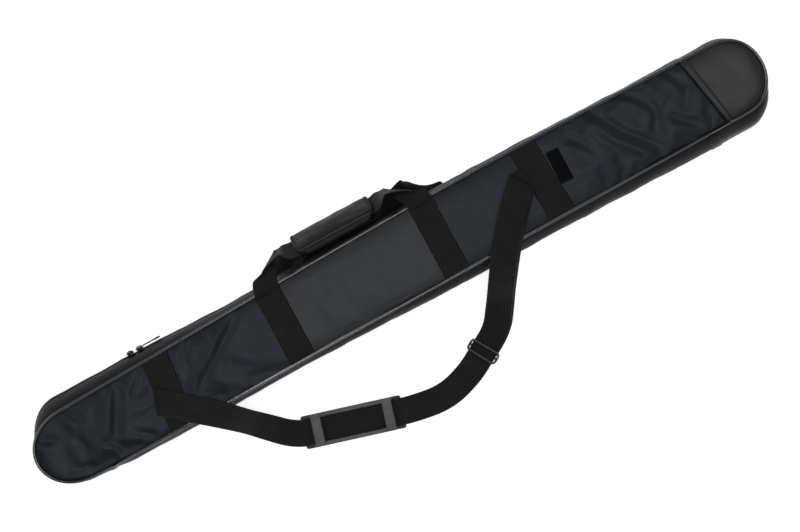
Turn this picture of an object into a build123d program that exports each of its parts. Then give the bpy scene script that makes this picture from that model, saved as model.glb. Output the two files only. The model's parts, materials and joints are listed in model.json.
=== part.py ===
from build123d import *
import os
from math import cos, radians, sin, tan

# A soft zip-up case for a two-piece cue. It lies on its rear panel. +X runs along the case
# to the vinyl end cap, +Y points to the zip and the carrying handle, +Z is up. Millimetres.

# Driving dimensions
CASE_LENGTH = 850.0
CASE_WIDTH = 96.0
GUSSET_BOTTOM = 2.0
GUSSET_TOP = 38.0
END_RADIUS = 40.0
ROLL_RADIUS = 9.0
WALL = 3.5
FABRIC = 1.6
LINING = 1.0
FOAM = 3.4
PANEL_INSET = 8.3
FIT_GAP = 0.3
INNER_GAP = 1.8
PIPING_GAP = 0.9
ZIP_HEIGHT = 20.0
ZIP_HALF_GAP = 2.4
NOTCH_X = -362.0
CAP_X = 346.0
CAP_SEAM_X = 360.7
CAP_SEAM_SLANT = -0.191
PIPING_RADIUS = 1.8
WEBBING = 1.4
STRAP_WIDTH = 28.5
STRAP_LEVEL = 42.5
STRAP_CUT_LID = -42.0
STRAP_CUT_FLOOR = -49.5
HANDLE_HINGE_Y = 46.0
HANDLE_HINGE_Z = 42.5
HANDLE_TILT = 49.6
HANDLE_REACH = 31.0
HANDLE_WIDTH = 28.0
WRAP_START = -88.0
WRAP_END = 0.0
FRONT_LEG_X = (-135.6, 47.3)
REAR_LEG_X = (-128.0, 66.0)
SLIDER_LEFT_X = -292.0
SLIDER_RIGHT_X = -281.0
PAD_CENTRE = (-122.5, -124.0)
PAD_ANGLE = -15.9
ADJUSTER_CENTRE = (32.0, -123.5)
ADJUSTER_ANGLE = 30.4
RETURN_START_X = 49.0

# Worked-out levels
PANEL_TOP = GUSSET_TOP + 2.0
PANEL_UNDER = PANEL_TOP - FABRIC
FRONT_FOAM_UNDER = PANEL_UNDER - FOAM
FRONT_LINING_UNDER = FRONT_FOAM_UNDER - LINING
REAR_LINING_TOP = FABRIC + FOAM + LINING
FAR = 500.0

# The strap's route seen from above: a sewn fold on the front panel, down to the floor, through
# the shoulder pad and the adjuster, and back up to the second sewn fold.
STRAP_ROUTE = [
    (-290.0, -7.8),
    (-240.0, -48.0),
    (-213.0, -76.0),
    (-182.0, -107.0),
    (-61.0, -141.5),
    (-24.0, -147.0),
    (9.0, -137.0),
    (55.0, -110.0),
    (78.0, -79.0),
    (105.0, -45.0),
    (151.0, 9.3),
]
# The same strap seen along the case: its height at each distance from the middle.
STRAP_PROFILE = [(30.0, 42.5), (-53.0, 42.5), (-66.0, 36.0), (-80.0, 15.0), (-93.0, 4.4), (-190.0, 4.4)]
UPPER_PROFILE = [(30.0, 44.2), (-53.0, 44.2), (-66.0, 36.0), (-79.0, 17.0), (-94.0, 4.4), (-190.0, 4.4)]
RETURN_PROFILE = [(30.0, 42.5), (-51.5, 42.5), (-63.5, 34.5), (-77.0, 15.0), (-92.0, 2.3), (-190.0, 2.3)]

os.makedirs("parts", exist_ok=True)


def save(name, shape):
    export_step(shape, "parts/" + name + ".step")


def block(x0, x1, y0, y1, z0, z1):
    middle = Location(((x0 + x1) / 2, (y0 + y1) / 2, (z0 + z1) / 2))
    return middle * Box(x1 - x0, y1 - y0, z1 - z0)


def plate(inset, z0, z1):
    """A flat layer with the case's outline, drawn in by inset."""
    outline = RectangleRounded(CASE_LENGTH - 2 * inset, CASE_WIDTH - 2 * inset, END_RADIUS - inset)
    return extrude(Pos(0, 0, z0) * outline, z1 - z0)


def rolled_body(inset):
    """The body's full volume with rolled top and bottom edges."""
    body = plate(inset, GUSSET_BOTTOM + inset, GUSSET_TOP - inset)
    layers = body.edges().group_by(Axis.Z)
    return fillet(layers[0] + layers[-1], ROLL_RADIUS - inset)


def ring(outer_inset, inner_inset, z0, z1):
    return plate(outer_inset, z0, z1) - plate(inner_inset, z0 - 1, z1 + 1)


def seam_prism(shift, side):
    """Everything on one side of the slanted seam between the front panel and the cap."""
    y = 70.0
    low = CAP_SEAM_X + shift - CAP_SEAM_SLANT * y
    high = CAP_SEAM_X + shift + CAP_SEAM_SLANT * y
    end = side * FAR
    face = make_face(Polyline((end, -y), (low, -y), (high, y), (end, y), close=True))
    return Pos(0, 0, -10) * extrude(face, 90.0, dir=(0, 0, 1))


def zipped_zone(gap):
    """Where the zip divides the gusset: round the left end and along the +Y side."""
    long_side = block(-FAR, CAP_X - gap, 0, 80, -1, 60)
    notch_side = block(-FAR, NOTCH_X - gap, -80, 0.01, -1, 60)
    return long_side + notch_side


def piping_ring(height):
    """A closed piping tube that follows the panel's seam."""
    inset = CASE_WIDTH / 2 - 41.5
    outline = RectangleRounded(CASE_LENGTH - 2 * inset, CASE_WIDTH - 2 * inset, END_RADIUS - inset)
    path = (Pos(0, 0, height) * outline).wire()
    start = Plane(origin=path @ 0, z_dir=path % 0)
    return sweep(start * Circle(PIPING_RADIUS), path=path)


def corner_radii(points):
    """The largest arc that each corner's two runs allow."""
    radii = []
    for before, here, after in zip(points, points[1:], points[2:]):
        run_in = Vector(here) - Vector(before)
        run_out = Vector(after) - Vector(here)
        half_turn = radians(run_in.get_angle(run_out)) / 2
        radii.append(0.45 * min(run_in.length, run_out.length) / tan(half_turn))
    return radii


def strap_plan(route):
    """The strap's flat outline seen from above, drawn upwards."""
    radii = corner_radii(route)
    print("plan radii", [round(radius) for radius in radii])
    outline = trace(FilletPolyline(*route, radius=radii), line_width=STRAP_WIDTH)
    return extrude(outline, 80.0, dir=(0, 0, 1))


def strap_curtain(profile):
    """The strap's height profile, drawn out along the case."""
    radii = corner_radii(profile)
    print("profile radii", [round(radius) for radius in radii])
    outline = trace(FilletPolyline(*profile, radius=radii), line_width=WEBBING)
    upright = Plane(origin=(-FAR, 0, 0), x_dir=(0, 1, 0), z_dir=(1, 0, 0))
    return extrude(upright * outline, 2 * FAR, dir=(1, 0, 0))


def make_rear_layers():
    rear_zone = block(-FAR, CAP_X - FIT_GAP, -80, 80, -1, 60)
    legs = make_leg_slots()
    save("rear_panel", plate(PANEL_INSET, 0, FABRIC) & rear_zone - legs)
    save("rear_foam", plate(PANEL_INSET, FABRIC, FABRIC + FOAM))
    save("rear_lining", plate(PANEL_INSET, FABRIC + FOAM, REAR_LINING_TOP))
    cap_zone = block(CAP_X, FAR, -80, 80, -1, 60)
    save("cap_rear_panel", plate(PANEL_INSET, 0, FABRIC) & cap_zone)


def make_leg_slots():
    slots = Part()
    for x in REAR_LEG_X:
        slots += block(x - HANDLE_WIDTH / 2, x + HANDLE_WIDTH / 2, 22, 60, -1, WEBBING)
    return slots


def make_front_layers():
    lid_zone = seam_prism(-FIT_GAP, -1)
    cap_zone = seam_prism(0, 1)
    save("front_panel", plate(PANEL_INSET, PANEL_UNDER, PANEL_TOP) & lid_zone)
    inner_zone = seam_prism(-INNER_GAP, -1)
    save("front_foam", plate(PANEL_INSET, FRONT_FOAM_UNDER, PANEL_UNDER) & inner_zone)
    save("front_lining", plate(PANEL_INSET, FRONT_LINING_UNDER, FRONT_FOAM_UNDER) & inner_zone)
    save("cap_front_panel", plate(PANEL_INSET, PANEL_UNDER, PANEL_TOP) & cap_zone)
    save("cap_foam", plate(PANEL_INSET, FRONT_LINING_UNDER, PANEL_UNDER) & cap_zone)
    hem_zone = cap_zone - seam_prism(7.0, 1)
    save("cap_hem", plate(PANEL_INSET, PANEL_TOP, PANEL_TOP + 0.8) & hem_zone)


def make_gusset():
    seam_hole = plate(PANEL_INSET - FIT_GAP, -1, 60)
    bottom_piping = piping_ring(GUSSET_BOTTOM)
    wall = rolled_body(0) - rolled_body(WALL) - seam_hole
    upper = block(-FAR, FAR, -80, 80, ZIP_HEIGHT + ZIP_HALF_GAP, 60)
    lower = block(-FAR, FAR, -80, 80, -1, ZIP_HEIGHT - ZIP_HALF_GAP)
    save("front_gusset", wall & zipped_zone(FIT_GAP) & upper)
    save("rear_gusset", (wall & zipped_zone(0) & lower) - bottom_piping)
    hinge_zone = block(NOTCH_X, CAP_X - 0.01, -80, 0, -1, 60)
    save("hinge_gusset", (wall & hinge_zone) - bottom_piping)
    cap_zone = block(CAP_X, FAR, -80, 80, -1, 60)
    save("cap_gusset", (wall & cap_zone) - bottom_piping)


def make_piping():
    top = piping_ring(PANEL_TOP - 0.1)
    save("front_piping", top & seam_prism(-PIPING_GAP, -1))
    save("cap_piping", top & seam_prism(0, 1))
    save("rear_piping", piping_ring(GUSSET_BOTTOM))


def make_zip():
    front = zipped_zone(FIT_GAP)
    rear = zipped_zone(0)
    z = ZIP_HEIGHT
    tape_out, tape_in = 1.2, 2.0
    save("zip_tape_front", ring(tape_out, tape_in, z + 1.4, z + ZIP_HALF_GAP) & front)
    save("zip_tape_rear", ring(tape_out, tape_in, z - ZIP_HALF_GAP, z - 1.4) & rear)
    save("zip_coil_front", ring(-0.2, 1.8, z + 0.1, z + 1.4) & front)
    save("zip_coil_rear", ring(-0.2, 1.8, z - 1.4, z - 0.1) & rear)
    stop_y = CASE_WIDTH / 2
    stops = block(NOTCH_X + 0.2, NOTCH_X + 2.4, -stop_y - 0.9, -stop_y - 0.05, z - 2, z + 2)
    stops += block(CAP_X + 0.2, CAP_X + 2.4, stop_y + 0.05, stop_y + 0.9, z - 2, z + 2)
    save("zip_end_stops", stops)


def make_inside():
    top = FRONT_LINING_UNDER - 0.8
    save("cue_divider", block(-396, 404, -1.5, 1.5, REAR_LINING_TOP, top))
    bands = Part()
    for x in (-240.0, 240.0):
        for side in (-1, 1):
            outer = block(x - 12, x + 12, side * 23 - 18, side * 23 + 18, REAR_LINING_TOP, top)
            inner = block(x - 13, x + 13, side * 23 - 16.9, side * 23 + 16.9, 0, top - 1.2)
            bands += outer - inner
    save("retaining_straps", bands)


def make_strap_bands():
    for name, x0, x1 in (("left", -288.0, -259.0), ("right", 155.0, 184.5)):
        save("strap_band_" + name, block(x0, x1, -39.6, 39.6, PANEL_TOP, PANEL_TOP + WEBBING))
    save("label", block(185.0, 199.5, -9, 27, PANEL_TOP, PANEL_TOP + 0.5))


def make_handle_legs():
    z = PANEL_TOP
    lower = [(-39.6, z), (37, z), (39.6, z + 1.8), (44.5, z + 1.8)]
    upper = [(y, height + WEBBING) for y, height in reversed(lower)]
    profile = make_face(Polyline(*lower, *upper, close=True))
    front = Part()
    rear = Part()
    for x in FRONT_LEG_X:
        section = Plane(origin=(x - HANDLE_WIDTH / 2, 0, 0), x_dir=(0, 1, 0), z_dir=(1, 0, 0))
        front += extrude(section * profile, HANDLE_WIDTH)
    for x in REAR_LEG_X:
        rear += block(x - HANDLE_WIDTH / 2, x + HANDLE_WIDTH / 2, 22, 39.5, 0, WEBBING)
    save("front_handle_legs", front)
    save("rear_handle_legs", rear)


def band_along(route, width):
    """The outline of a flat band along straight runs, with mitred corners."""
    points = [Vector(point) for point in route]
    runs = [(end - start).normalized() for start, end in zip(points, points[1:])]
    near_side = []
    far_side = []
    for point, run_in, run_out in zip(points, [runs[0]] + runs, runs + [runs[-1]]):
        middle = (run_in + run_out).normalized()
        across = Vector(-middle.Y, middle.X) * (width / 2 / middle.dot(run_in))
        near_side.append(point + across)
        far_side.insert(0, point - across)
    return make_face(Polyline(*near_side, *far_side, close=True))


def loop_outline(left, right, reach, slant):
    """The flat plan of a webbing handle: out from one leg, along, and back to the other."""
    route = [
        (left, 0.9),
        (left + 3, 9.0),
        (left + slant, reach - 4),
        (left + slant + 20, reach),
        (right - slant - 20, reach),
        (right - slant, reach - 4),
        (right - 3, 9.0),
        (right, 0.9),
    ]
    return band_along(route, HANDLE_WIDTH)


def handle_plane():
    tilt = radians(HANDLE_TILT)
    origin = (0, HANDLE_HINGE_Y, HANDLE_HINGE_Z)
    return Plane(origin=origin, x_dir=(1, 0, 0), z_dir=(0, sin(tilt), cos(tilt)))


def in_handle(x0, x1, a0, a1, n0, n1):
    """A block in the handle's own plane: a is the way outwards, n the way up from it."""
    return handle_plane() * block(x0, x1, a0, a1, n0, n1)


def make_front_handle():
    outline = loop_outline(FRONT_LEG_X[0], FRONT_LEG_X[1], HANDLE_REACH, 26.0)
    front_zone = block(-FAR, FAR, 1.0, 80, -5, 5)
    loop = extrude(Pos(0, 0, -0.7) * outline, WEBBING, dir=(0, 0, 1)) & front_zone
    save("front_handle_loop", handle_plane() * loop)
    near = HANDLE_REACH - 16.5
    far = HANDLE_REACH + 16.5
    x0, x1 = WRAP_START, WRAP_END
    under = in_handle(x0, x1, near, far, -5.5, -2.6)
    inner_edge = in_handle(x0, x1, near, near + 2.2, -2.6, 5.5)
    lip = in_handle(x0, x1, near + 2.2, near + 6.0, 2.6, 5.5)
    shell = under + inner_edge + lip
    save("handle_wrap", fillet(shell.edges().filter_by(Axis.X).sort_by(Axis.Z)[-1:], 2.0))
    save("wrap_padding_lower", in_handle(x0 + 3, x1 - 3, near + 2.6, far - 3, -2.5, -0.9))
    save("wrap_loop_strip", in_handle(x0 + 4, x1 - 4, near + 2.4, near + 5.8, 2.0, 2.6))
    flap = in_handle(x0, x1, near + 6.4, far, 2.6, 5.5)
    edge = in_handle(x0, x1, far - 1.9, far, -2.2, 2.6)
    save("wrap_flap", flap + edge)
    save("wrap_padding_upper", in_handle(x0 + 3, x1 - 3, near + 12, far - 3, 0.9, 2.6))
    save("wrap_hook_strip", in_handle(x0 + 4, x1 - 4, near + 6.6, near + 11.6, 1.9, 2.6))


def make_rear_handle():
    outline = loop_outline(REAR_LEG_X[0], REAR_LEG_X[1], HANDLE_REACH - 10.0, 24.0)
    zone = block(-FAR, FAR, 1.0, 80, -5, 5)
    loop = extrude(Pos(0, 0, -0.7) * outline, WEBBING, dir=(0, 0, 1)) & zone
    flat = Plane(origin=(0, HANDLE_HINGE_Y - 1, 1.1), x_dir=(1, 0, 0), z_dir=(0, 0, 1))
    save("rear_handle_loop", flat * loop)


def make_slider(name, x):
    """A slider's outer plate, the lower flange that holds it to the coil, and its bail."""
    face_y = CASE_WIDTH / 2 + 1.5
    z = ZIP_HEIGHT
    body = block(x - 4.5, x + 4.5, face_y, face_y + 1.1, z - 5, z + 4.6)
    body = fillet(body.edges().filter_by(Axis.Y), 2.2)
    body += block(x - 3.6, x + 3.6, CASE_WIDTH / 2 + 0.3, face_y, z - 4.6, z - 2.7)
    bail = block(x - 3.4, x + 3.4, face_y + 1.1, face_y + 2.9, z - 0.9, z + 0.9)
    bail -= block(x - 2.2, x + 2.2, face_y + 1.0, face_y + 2.1, z - 1, z + 1)
    save("zip_slider_" + name, body + bail)


def pull_tab(length):
    """A pull tab along +X from its own hinge at the origin: an eye, a neck and a grip."""
    outline = Pos(length / 2 + 1, 0) * RectangleRounded(length - 2, 5.0, 1.6)
    outline += Pos(0.7, 0) * RectangleRounded(4.2, 4.4, 1.0)
    outline -= Pos(0.2, 0) * RectangleRounded(1.6, 2.4, 0.6)
    outline -= Pos(length - 3.6, 0) * SlotOverall(3.6, 1.6)
    return extrude(Pos(0, 0, -0.45) * outline, 0.9)


def make_zip_pulls():
    face_y = CASE_WIDTH / 2 + 1.5
    height = ZIP_HEIGHT
    right_origin = (SLIDER_RIGHT_X + 6.2, face_y + 1.6, height)
    right = Plane(origin=right_origin, x_dir=(1, 0, 0), z_dir=(0, 1, 0))
    save("zip_pull_right", right * pull_tab(20.0))
    left_origin = (SLIDER_LEFT_X, face_y + 1.6, height - 6.8)
    left = Plane(origin=left_origin, x_dir=(0, 0, -1), z_dir=(0, 1, 0))
    save("zip_pull_left", left * pull_tab(11.5))


def side_cut(y_low, y_high):
    return block(-FAR, FAR, y_low, y_high, -1, 80)


def make_strap():
    plan = strap_plan(STRAP_ROUTE)
    left_half = block(-FAR, -60, -FAR, FAR, -1, 80)
    right_half = block(-60, FAR, -FAR, FAR, -1, 80)
    left = plan & left_half & strap_curtain(STRAP_PROFILE)
    right = plan & right_half & strap_curtain(UPPER_PROFILE)
    return_zone = block(RETURN_START_X, FAR, -FAR, FAR, -1, 80)
    under = Pos(1.5, -1.0, 0) * plan & return_zone & strap_curtain(RETURN_PROFILE)
    floor_side = side_cut(-FAR, STRAP_CUT_FLOOR)
    lid_side = side_cut(STRAP_CUT_LID, FAR)
    strap = (left & floor_side) + (right & floor_side)
    print("strap volume", round(strap.volume), "over width and thickness gives a length of",
          round(strap.volume / STRAP_WIDTH / WEBBING))
    save("strap_main", strap)
    save("strap_return", under & floor_side)
    left_fold = block(-300, -288.2, -24, 6, PANEL_TOP, STRAP_LEVEL - WEBBING / 2)
    save("strap_end_left", (left & lid_side) + left_fold)
    right_fold = block(140, 154.8, -3, 18, PANEL_TOP, STRAP_LEVEL - WEBBING / 2)
    save("strap_end_right", (right & lid_side) + (under & lid_side) + right_fold)


def make_shoulder_pad():
    base = RectangleRounded(106, 35, 8)
    pad = extrude(Pos(0, 0, 0.4) * base, 3.2)
    for side in (-1, 1):
        pad += Pos(0, side * 16.2, 5.0) * Box(86, 2.4, 6.0)
    for end in (-1, 1):
        pad += Pos(end * 38, 0, 8.2) * Box(10.5, 34.8, 2.2)
        for side in (-1, 1):
            pad += Pos(end * 38, side * 16.4, 5.5) * Box(10.5, 2.0, 5.0)
    save("shoulder_pad", Pos(PAD_CENTRE[0], PAD_CENTRE[1], 0) * Rot(0, 0, PAD_ANGLE) * pad)


def make_adjuster():
    wire = 1.2
    half_long = 16.2
    half_short = 5.8
    level = 6.5
    low = 1.8
    outline = RectangleRounded(2 * half_short, 2 * half_long, 3.0)
    path = (Pos(0, 0, level) * outline).wire()
    start = Plane(origin=path @ 0, z_dir=path % 0)
    frame = sweep(start * Circle(wire), path=path)
    bar = Pos(0, 0, low) * Rot(90, 0, 0) * Cylinder(wire, 2 * half_long)
    for side in (-1, 1):
        post = Cylinder(wire, level - low)
        bar += Pos(0, side * half_long, (level + low) / 2) * post
        bar += Pos(0, side * half_long, low) * Sphere(wire)
    placed = Pos(*ADJUSTER_CENTRE, 0) * Rot(0, 0, ADJUSTER_ANGLE)
    save("adjuster_frame", placed * frame)
    save("adjuster_bar", placed * (bar - frame))


make_rear_layers()
make_front_layers()
make_gusset()
make_piping()
make_zip()
make_inside()
make_strap_bands()
make_handle_legs()
make_front_handle()
make_rear_handle()
make_slider("left", SLIDER_LEFT_X)
make_slider("right", SLIDER_RIGHT_X)
make_zip_pulls()
make_strap()
make_shoulder_pad()
make_adjuster()
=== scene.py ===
import json
from math import cos, pi, radians, sin, sqrt

import bmesh
import bpy
import numpy as np
from mathutils import Matrix, Vector, noise

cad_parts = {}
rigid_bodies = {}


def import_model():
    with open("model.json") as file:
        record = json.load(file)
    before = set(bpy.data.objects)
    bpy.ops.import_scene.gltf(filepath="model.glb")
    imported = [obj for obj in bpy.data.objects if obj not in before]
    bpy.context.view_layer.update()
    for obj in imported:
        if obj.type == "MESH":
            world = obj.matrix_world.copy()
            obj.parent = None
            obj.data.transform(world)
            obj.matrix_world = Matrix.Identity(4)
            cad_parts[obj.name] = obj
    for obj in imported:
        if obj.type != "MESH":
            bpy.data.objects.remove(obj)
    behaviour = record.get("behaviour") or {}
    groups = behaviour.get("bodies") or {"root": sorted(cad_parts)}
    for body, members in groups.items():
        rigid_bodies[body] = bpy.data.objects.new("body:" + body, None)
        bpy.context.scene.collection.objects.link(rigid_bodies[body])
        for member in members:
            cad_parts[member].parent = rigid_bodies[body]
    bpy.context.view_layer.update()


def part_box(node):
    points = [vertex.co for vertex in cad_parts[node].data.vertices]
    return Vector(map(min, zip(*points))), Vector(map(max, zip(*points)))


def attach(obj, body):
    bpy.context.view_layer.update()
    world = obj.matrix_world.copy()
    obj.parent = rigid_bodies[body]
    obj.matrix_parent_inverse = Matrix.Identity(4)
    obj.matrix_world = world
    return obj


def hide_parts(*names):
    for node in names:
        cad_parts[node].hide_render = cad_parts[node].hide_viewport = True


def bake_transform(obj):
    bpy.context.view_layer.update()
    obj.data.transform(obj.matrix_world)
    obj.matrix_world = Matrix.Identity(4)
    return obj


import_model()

MM = 0.001

# The soft body, worked out from the frame's nodes
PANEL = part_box("front_panel")
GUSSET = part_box("rear_gusset")
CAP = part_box("cap_gusset")
LEFT_TIP = GUSSET[0][0]
RIGHT_TIP = CAP[1][0]
NOTCH_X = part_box("hinge_gusset")[0][0]
CAP_X = CAP[0][0]
LEFT_TURN = LEFT_TIP + 43 * MM
RIGHT_TURN = RIGHT_TIP - 39 * MM
PANEL_EDGE_Z = PANEL[1][2] - 1.2 * MM
REAR_EDGE_Z = 2.2 * MM
CROWN = 2.4 * MM
STEP = 5 * MM
END_INSET = 6.0 * MM
SEAM_LEFT_INSET = -4.0 * MM
SEAM_RIGHT_INSET = -2.2 * MM
CAP_SEAM_X = 360.7 * MM
CAP_SEAM_SLANT = -0.191
STRAP_WIDTH = 28.5 * MM
WEBBING = 1.5 * MM
LID_BLEND = ((0.20, 0, 0.04), (0.345, 0, 0.04))

# The closed side's edge turns with the lid. Past BEND_X the lid bends, and so does that edge
BEND_X = LID_BLEND[0][0]

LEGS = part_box("front_handle_legs")
LEG_WIDTH = 28 * MM
FRONT_LEGS = (LEGS[0][0] + LEG_WIDTH / 2, LEGS[1][0] - LEG_WIDTH / 2)

# How the soft body leans: pairs of a place along the case and a distance across it, in mm
SEAM_MIDDLE = [(-400, -6.4), (-270, -4.4), (-100, 0.3), (40, 3.0), (170, 4.6), (400, 4.8)]
SEAM_HALF = [(-400, 37.6), (-270, 40.0), (60, 42.8), (200, 42.2), (330, 40.4), (400, 39.4)]
OUTER_PLUS = [(-400, 46.6), (-330, 47.4), (-270, 47.4), (-180, 45.8), (60, 49.6),
              (124, 50.4), (310, 47.6), (352, 48.6), (400, 49.2)]
OUTER_MINUS = [(-400, 44.4), (-366, 46.0), (-350, 49.4), (-260, 49.3), (-134, 47.8), (60, 50.6),
               (186, 49.6), (250, 50.2), (400, 50.4)]

# Creases of the front panel: start, end (mm), width (mm), depth (mm)
CREASE_DEPTH = 1.8
CREASES = [
    ((-176, 34), (-206, 12), 5.0, 1.5),
    ((-206, 12), (-240, -14), 4.5, 1.1),
    ((-377, 34), (-370, 13), 5.0, 1.2),
    ((-416, 17), (-402, 5), 4.5, 1.1),
    ((-382, -4), (-376, -22), 5.5, 0.9),
    ((-410, -26), (-378, -37), 6.0, 1.0),
    ((-378, -37), (-318, -38), 5.5, 1.1),
    ((-244, -36), (-206, -33), 5.0, 1.1),
    ((-206, -33), (-162, -36), 4.5, 1.0),
    ((-306, 8), (-294, 30), 4.0, 1.3),
    ((-320, 26), (-331, 5), 5.0, 1.1),
    ((-331, 5), (-342, -18), 5.5, 1.1),
    ((-352, -20), (-342, -36), 4.0, 1.0),
    ((-322, -24), (-310, -38), 3.5, 1.0),
    ((-246, 20), (-228, 36), 4.0, 0.9),
    ((246, 40), (262, 18), 5.0, 1.5),
    ((262, 18), (292, -24), 5.5, 1.4),
    ((288, 43), (299, 24), 4.0, 1.2),
    ((302, 24), (307, 6), 4.5, 0.9),
    ((334, 40), (346, 20), 4.0, 1.1),
    ((214, 30), (232, 4), 5.0, 0.7),
    ((318, 2), (340, -22), 5.0, 0.9),
]


def along(knots, x):
    """A smooth value at x metres along the case, from listed pairs in millimetres."""
    places = [place for place, _ in knots]
    values = [value for _, value in knots]
    near = [np.interp(x / MM + shift, places, values) for shift in (-24, -12, 0, 12, 24)]
    return float(np.dot(near, [0.1, 0.2, 0.4, 0.2, 0.1])) * MM


def smooth(value, low, high):
    t = min(max((value - low) / (high - low), 0.0), 1.0)
    return t * t * (3 - 2 * t)


def turn_of(x, inset=END_INSET):
    """How far x lies into a rounded end: the straight part's x, and the half-width's share."""
    if x < LEFT_TURN:
        share = min((LEFT_TURN - x) / (LEFT_TURN - LEFT_TIP - inset), 1.0)
        return LEFT_TURN, sqrt(max(1 - share ** 2.1, 0.0))
    if x > RIGHT_TURN:
        share = min((x - RIGHT_TURN) / (RIGHT_TIP - RIGHT_TURN - inset), 1.0)
        return RIGHT_TURN, sqrt(max(1 - share ** 2.6, 0.0))
    return x, 1.0


def seam_inset(x):
    """How far the front seam stays inside the body's tip."""
    return SEAM_LEFT_INSET if x < 0 else SEAM_RIGHT_INSET


def looseness(x):
    """How slack the front cloth is: it is pulled flat between the handle's legs."""
    return 1 - 0.75 * smooth(x, -0.24, -0.14) * (1 - smooth(x, 0.19, 0.23))


def crease_height(x, y):
    """The front panel's listed creases and its small unevenness, in metres."""
    height = 0.0
    for start, end, width, depth in CREASES:
        ax, ay = start
        bx, by = end
        px, py = x / MM - ax, y / MM - ay
        dx, dy = bx - ax, by - ay
        length = sqrt(dx * dx + dy * dy)
        t = (px * dx + py * dy) / (length * length)
        if -0.3 < t < 1.3:
            offset = (px * dy - py * dx) / length + 1.6 * sin(3.0 * t + ax)
            taper = smooth(t, -0.3, 0.25) * (1 - smooth(t, 0.75, 1.3))
            valley = -np.exp(-(offset / width) ** 2)
            ridge = 0.8 * np.exp(-((offset - 1.7 * width) / (1.3 * width)) ** 2)
            height += (valley + ridge) * CREASE_DEPTH * depth * taper * MM
    loose = looseness(x)
    height += loose * 0.9 * MM * noise.noise((x * 16, y * 22, 3.1))
    height += loose * 0.45 * MM * noise.noise((x * 45, y * 50, 7.7))
    return height


def panel_edges(x):
    """The y of the front panel's two seams at x."""
    straight, share = turn_of(x, seam_inset(x))
    middle = along(SEAM_MIDDLE, straight)
    half = along(SEAM_HALF, straight) * share
    return middle - half, middle + half


def panel_height(x, y):
    """The top surface of the front panel."""
    left, right = LEFT_TIP + SEAM_LEFT_INSET, RIGHT_TIP - SEAM_RIGHT_INSET
    low, high = panel_edges(min(max(x, left + 0.5 * MM), right - 0.5 * MM))
    half = max((high - low) / 2, 1 * MM)
    v = min(abs(y - (low + high) / 2) / half, 1.0)
    end = min(x - left, right - x) / (30 * MM)
    w = 1 - min(max(end, 0.0), 1.0)
    edge = (1 - v ** 5) * (1 - w ** 5)
    pucker = (v ** 3) * (1 - v ** 8) * 0.5 * MM * noise.noise((x * 75, y * 8, 1.3))
    return PANEL_EDGE_Z + CROWN * edge + crease_height(x, y) * (1 - v ** 4) * (1 - w ** 4) + pucker


# ---------------------------------------------------------------- mesh helpers


def new_object(name, points, faces, uvs=None):
    mesh = bpy.data.meshes.new(name)
    mesh.from_pydata([tuple(p) for p in points], [], faces)
    if uvs is not None:
        layer = mesh.uv_layers.new(name="UVMap")
        for loop in mesh.loops:
            layer.data[loop.index].uv = uvs[loop.vertex_index]
    mesh.shade_smooth()
    thing = bpy.data.objects.new(name, mesh)
    bpy.context.scene.collection.objects.link(thing)
    return thing


def fix_normals(thing):
    work = bmesh.new()
    work.from_mesh(thing.data)
    bmesh.ops.recalc_face_normals(work, faces=work.faces)
    work.to_mesh(thing.data)
    work.free()


def grid_faces(rows, columns, start=0, closed=False):
    faces = []
    for i in range(rows - 1):
        for j in range(columns if closed else columns - 1):
            k = (j + 1) % columns
            a = start + i * columns
            b = a + columns
            faces.append((a + j, a + k, b + k, b + j))
    return faces


def end_faces(rings, sides):
    """The two faces that close a tube of rings of points."""
    last = (rings - 1) * sides
    return [tuple(range(sides))[::-1], tuple(range(last, last + sides))]


def slab(name, top, bottom):
    """A closed sheet between two grids of points."""
    rows, columns = len(top), len(top[0])
    count = rows * columns
    points = [p for row in top for p in row] + [p for row in bottom for p in row]
    faces = grid_faces(rows, columns) + [f[::-1] for f in grid_faces(rows, columns, count)]
    rim = [(0, j) for j in range(columns)] + [(i, columns - 1) for i in range(1, rows)]
    rim += [(rows - 1, j) for j in range(columns - 2, -1, -1)] + [(i, 0) for i in range(rows - 2, 0, -1)]
    for (i, j), (m, n) in zip(rim, rim[1:] + rim[:1]):
        a, b = i * columns + j, m * columns + n
        faces.append((a, a + count, b + count, b))
    uvs = [(p[0], p[1]) for p in points]
    thing = new_object(name, points, faces, uvs)
    fix_normals(thing)
    return thing


def tube(name, path, radius, sides=10, closed=False):
    """A round tube along points, with level-keeping rings."""
    path = [Vector(p) for p in path]
    count = len(path)
    points = []
    for i, p in enumerate(path):
        after = path[(i + 1) % count] if closed else path[min(i + 1, count - 1)]
        before = path[i - 1] if closed else path[max(i - 1, 0)]
        tangent = (after - before).normalized()
        reference = Vector((0, 0, 1)) if abs(tangent.z) < 0.9 else Vector((1, 0, 0))
        side = tangent.cross(reference).normalized()
        up = side.cross(tangent)
        r = radius[i] if isinstance(radius, (list, tuple)) else radius
        for k in range(sides):
            angle = 2 * pi * k / sides
            points.append(p + side * r * cos(angle) + up * r * sin(angle))
    faces = grid_faces(count, sides, closed=True)
    if closed:
        last = (count - 1) * sides
        faces += [(last + j, last + (j + 1) % sides, (j + 1) % sides, j) for j in range(sides)]
    else:
        faces += end_faces(count, sides)
    thing = new_object(name, points, faces)
    fix_normals(thing)
    return thing


def join(name, things):
    """Joins meshes into one object."""
    target = things[0]
    work = bmesh.new()
    for thing in things:
        work.from_mesh(thing.data)
    work.to_mesh(target.data)
    work.free()
    for thing in things[1:]:
        bpy.data.objects.remove(thing)
    target.name = name
    target.data.shade_smooth()
    return target


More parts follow.
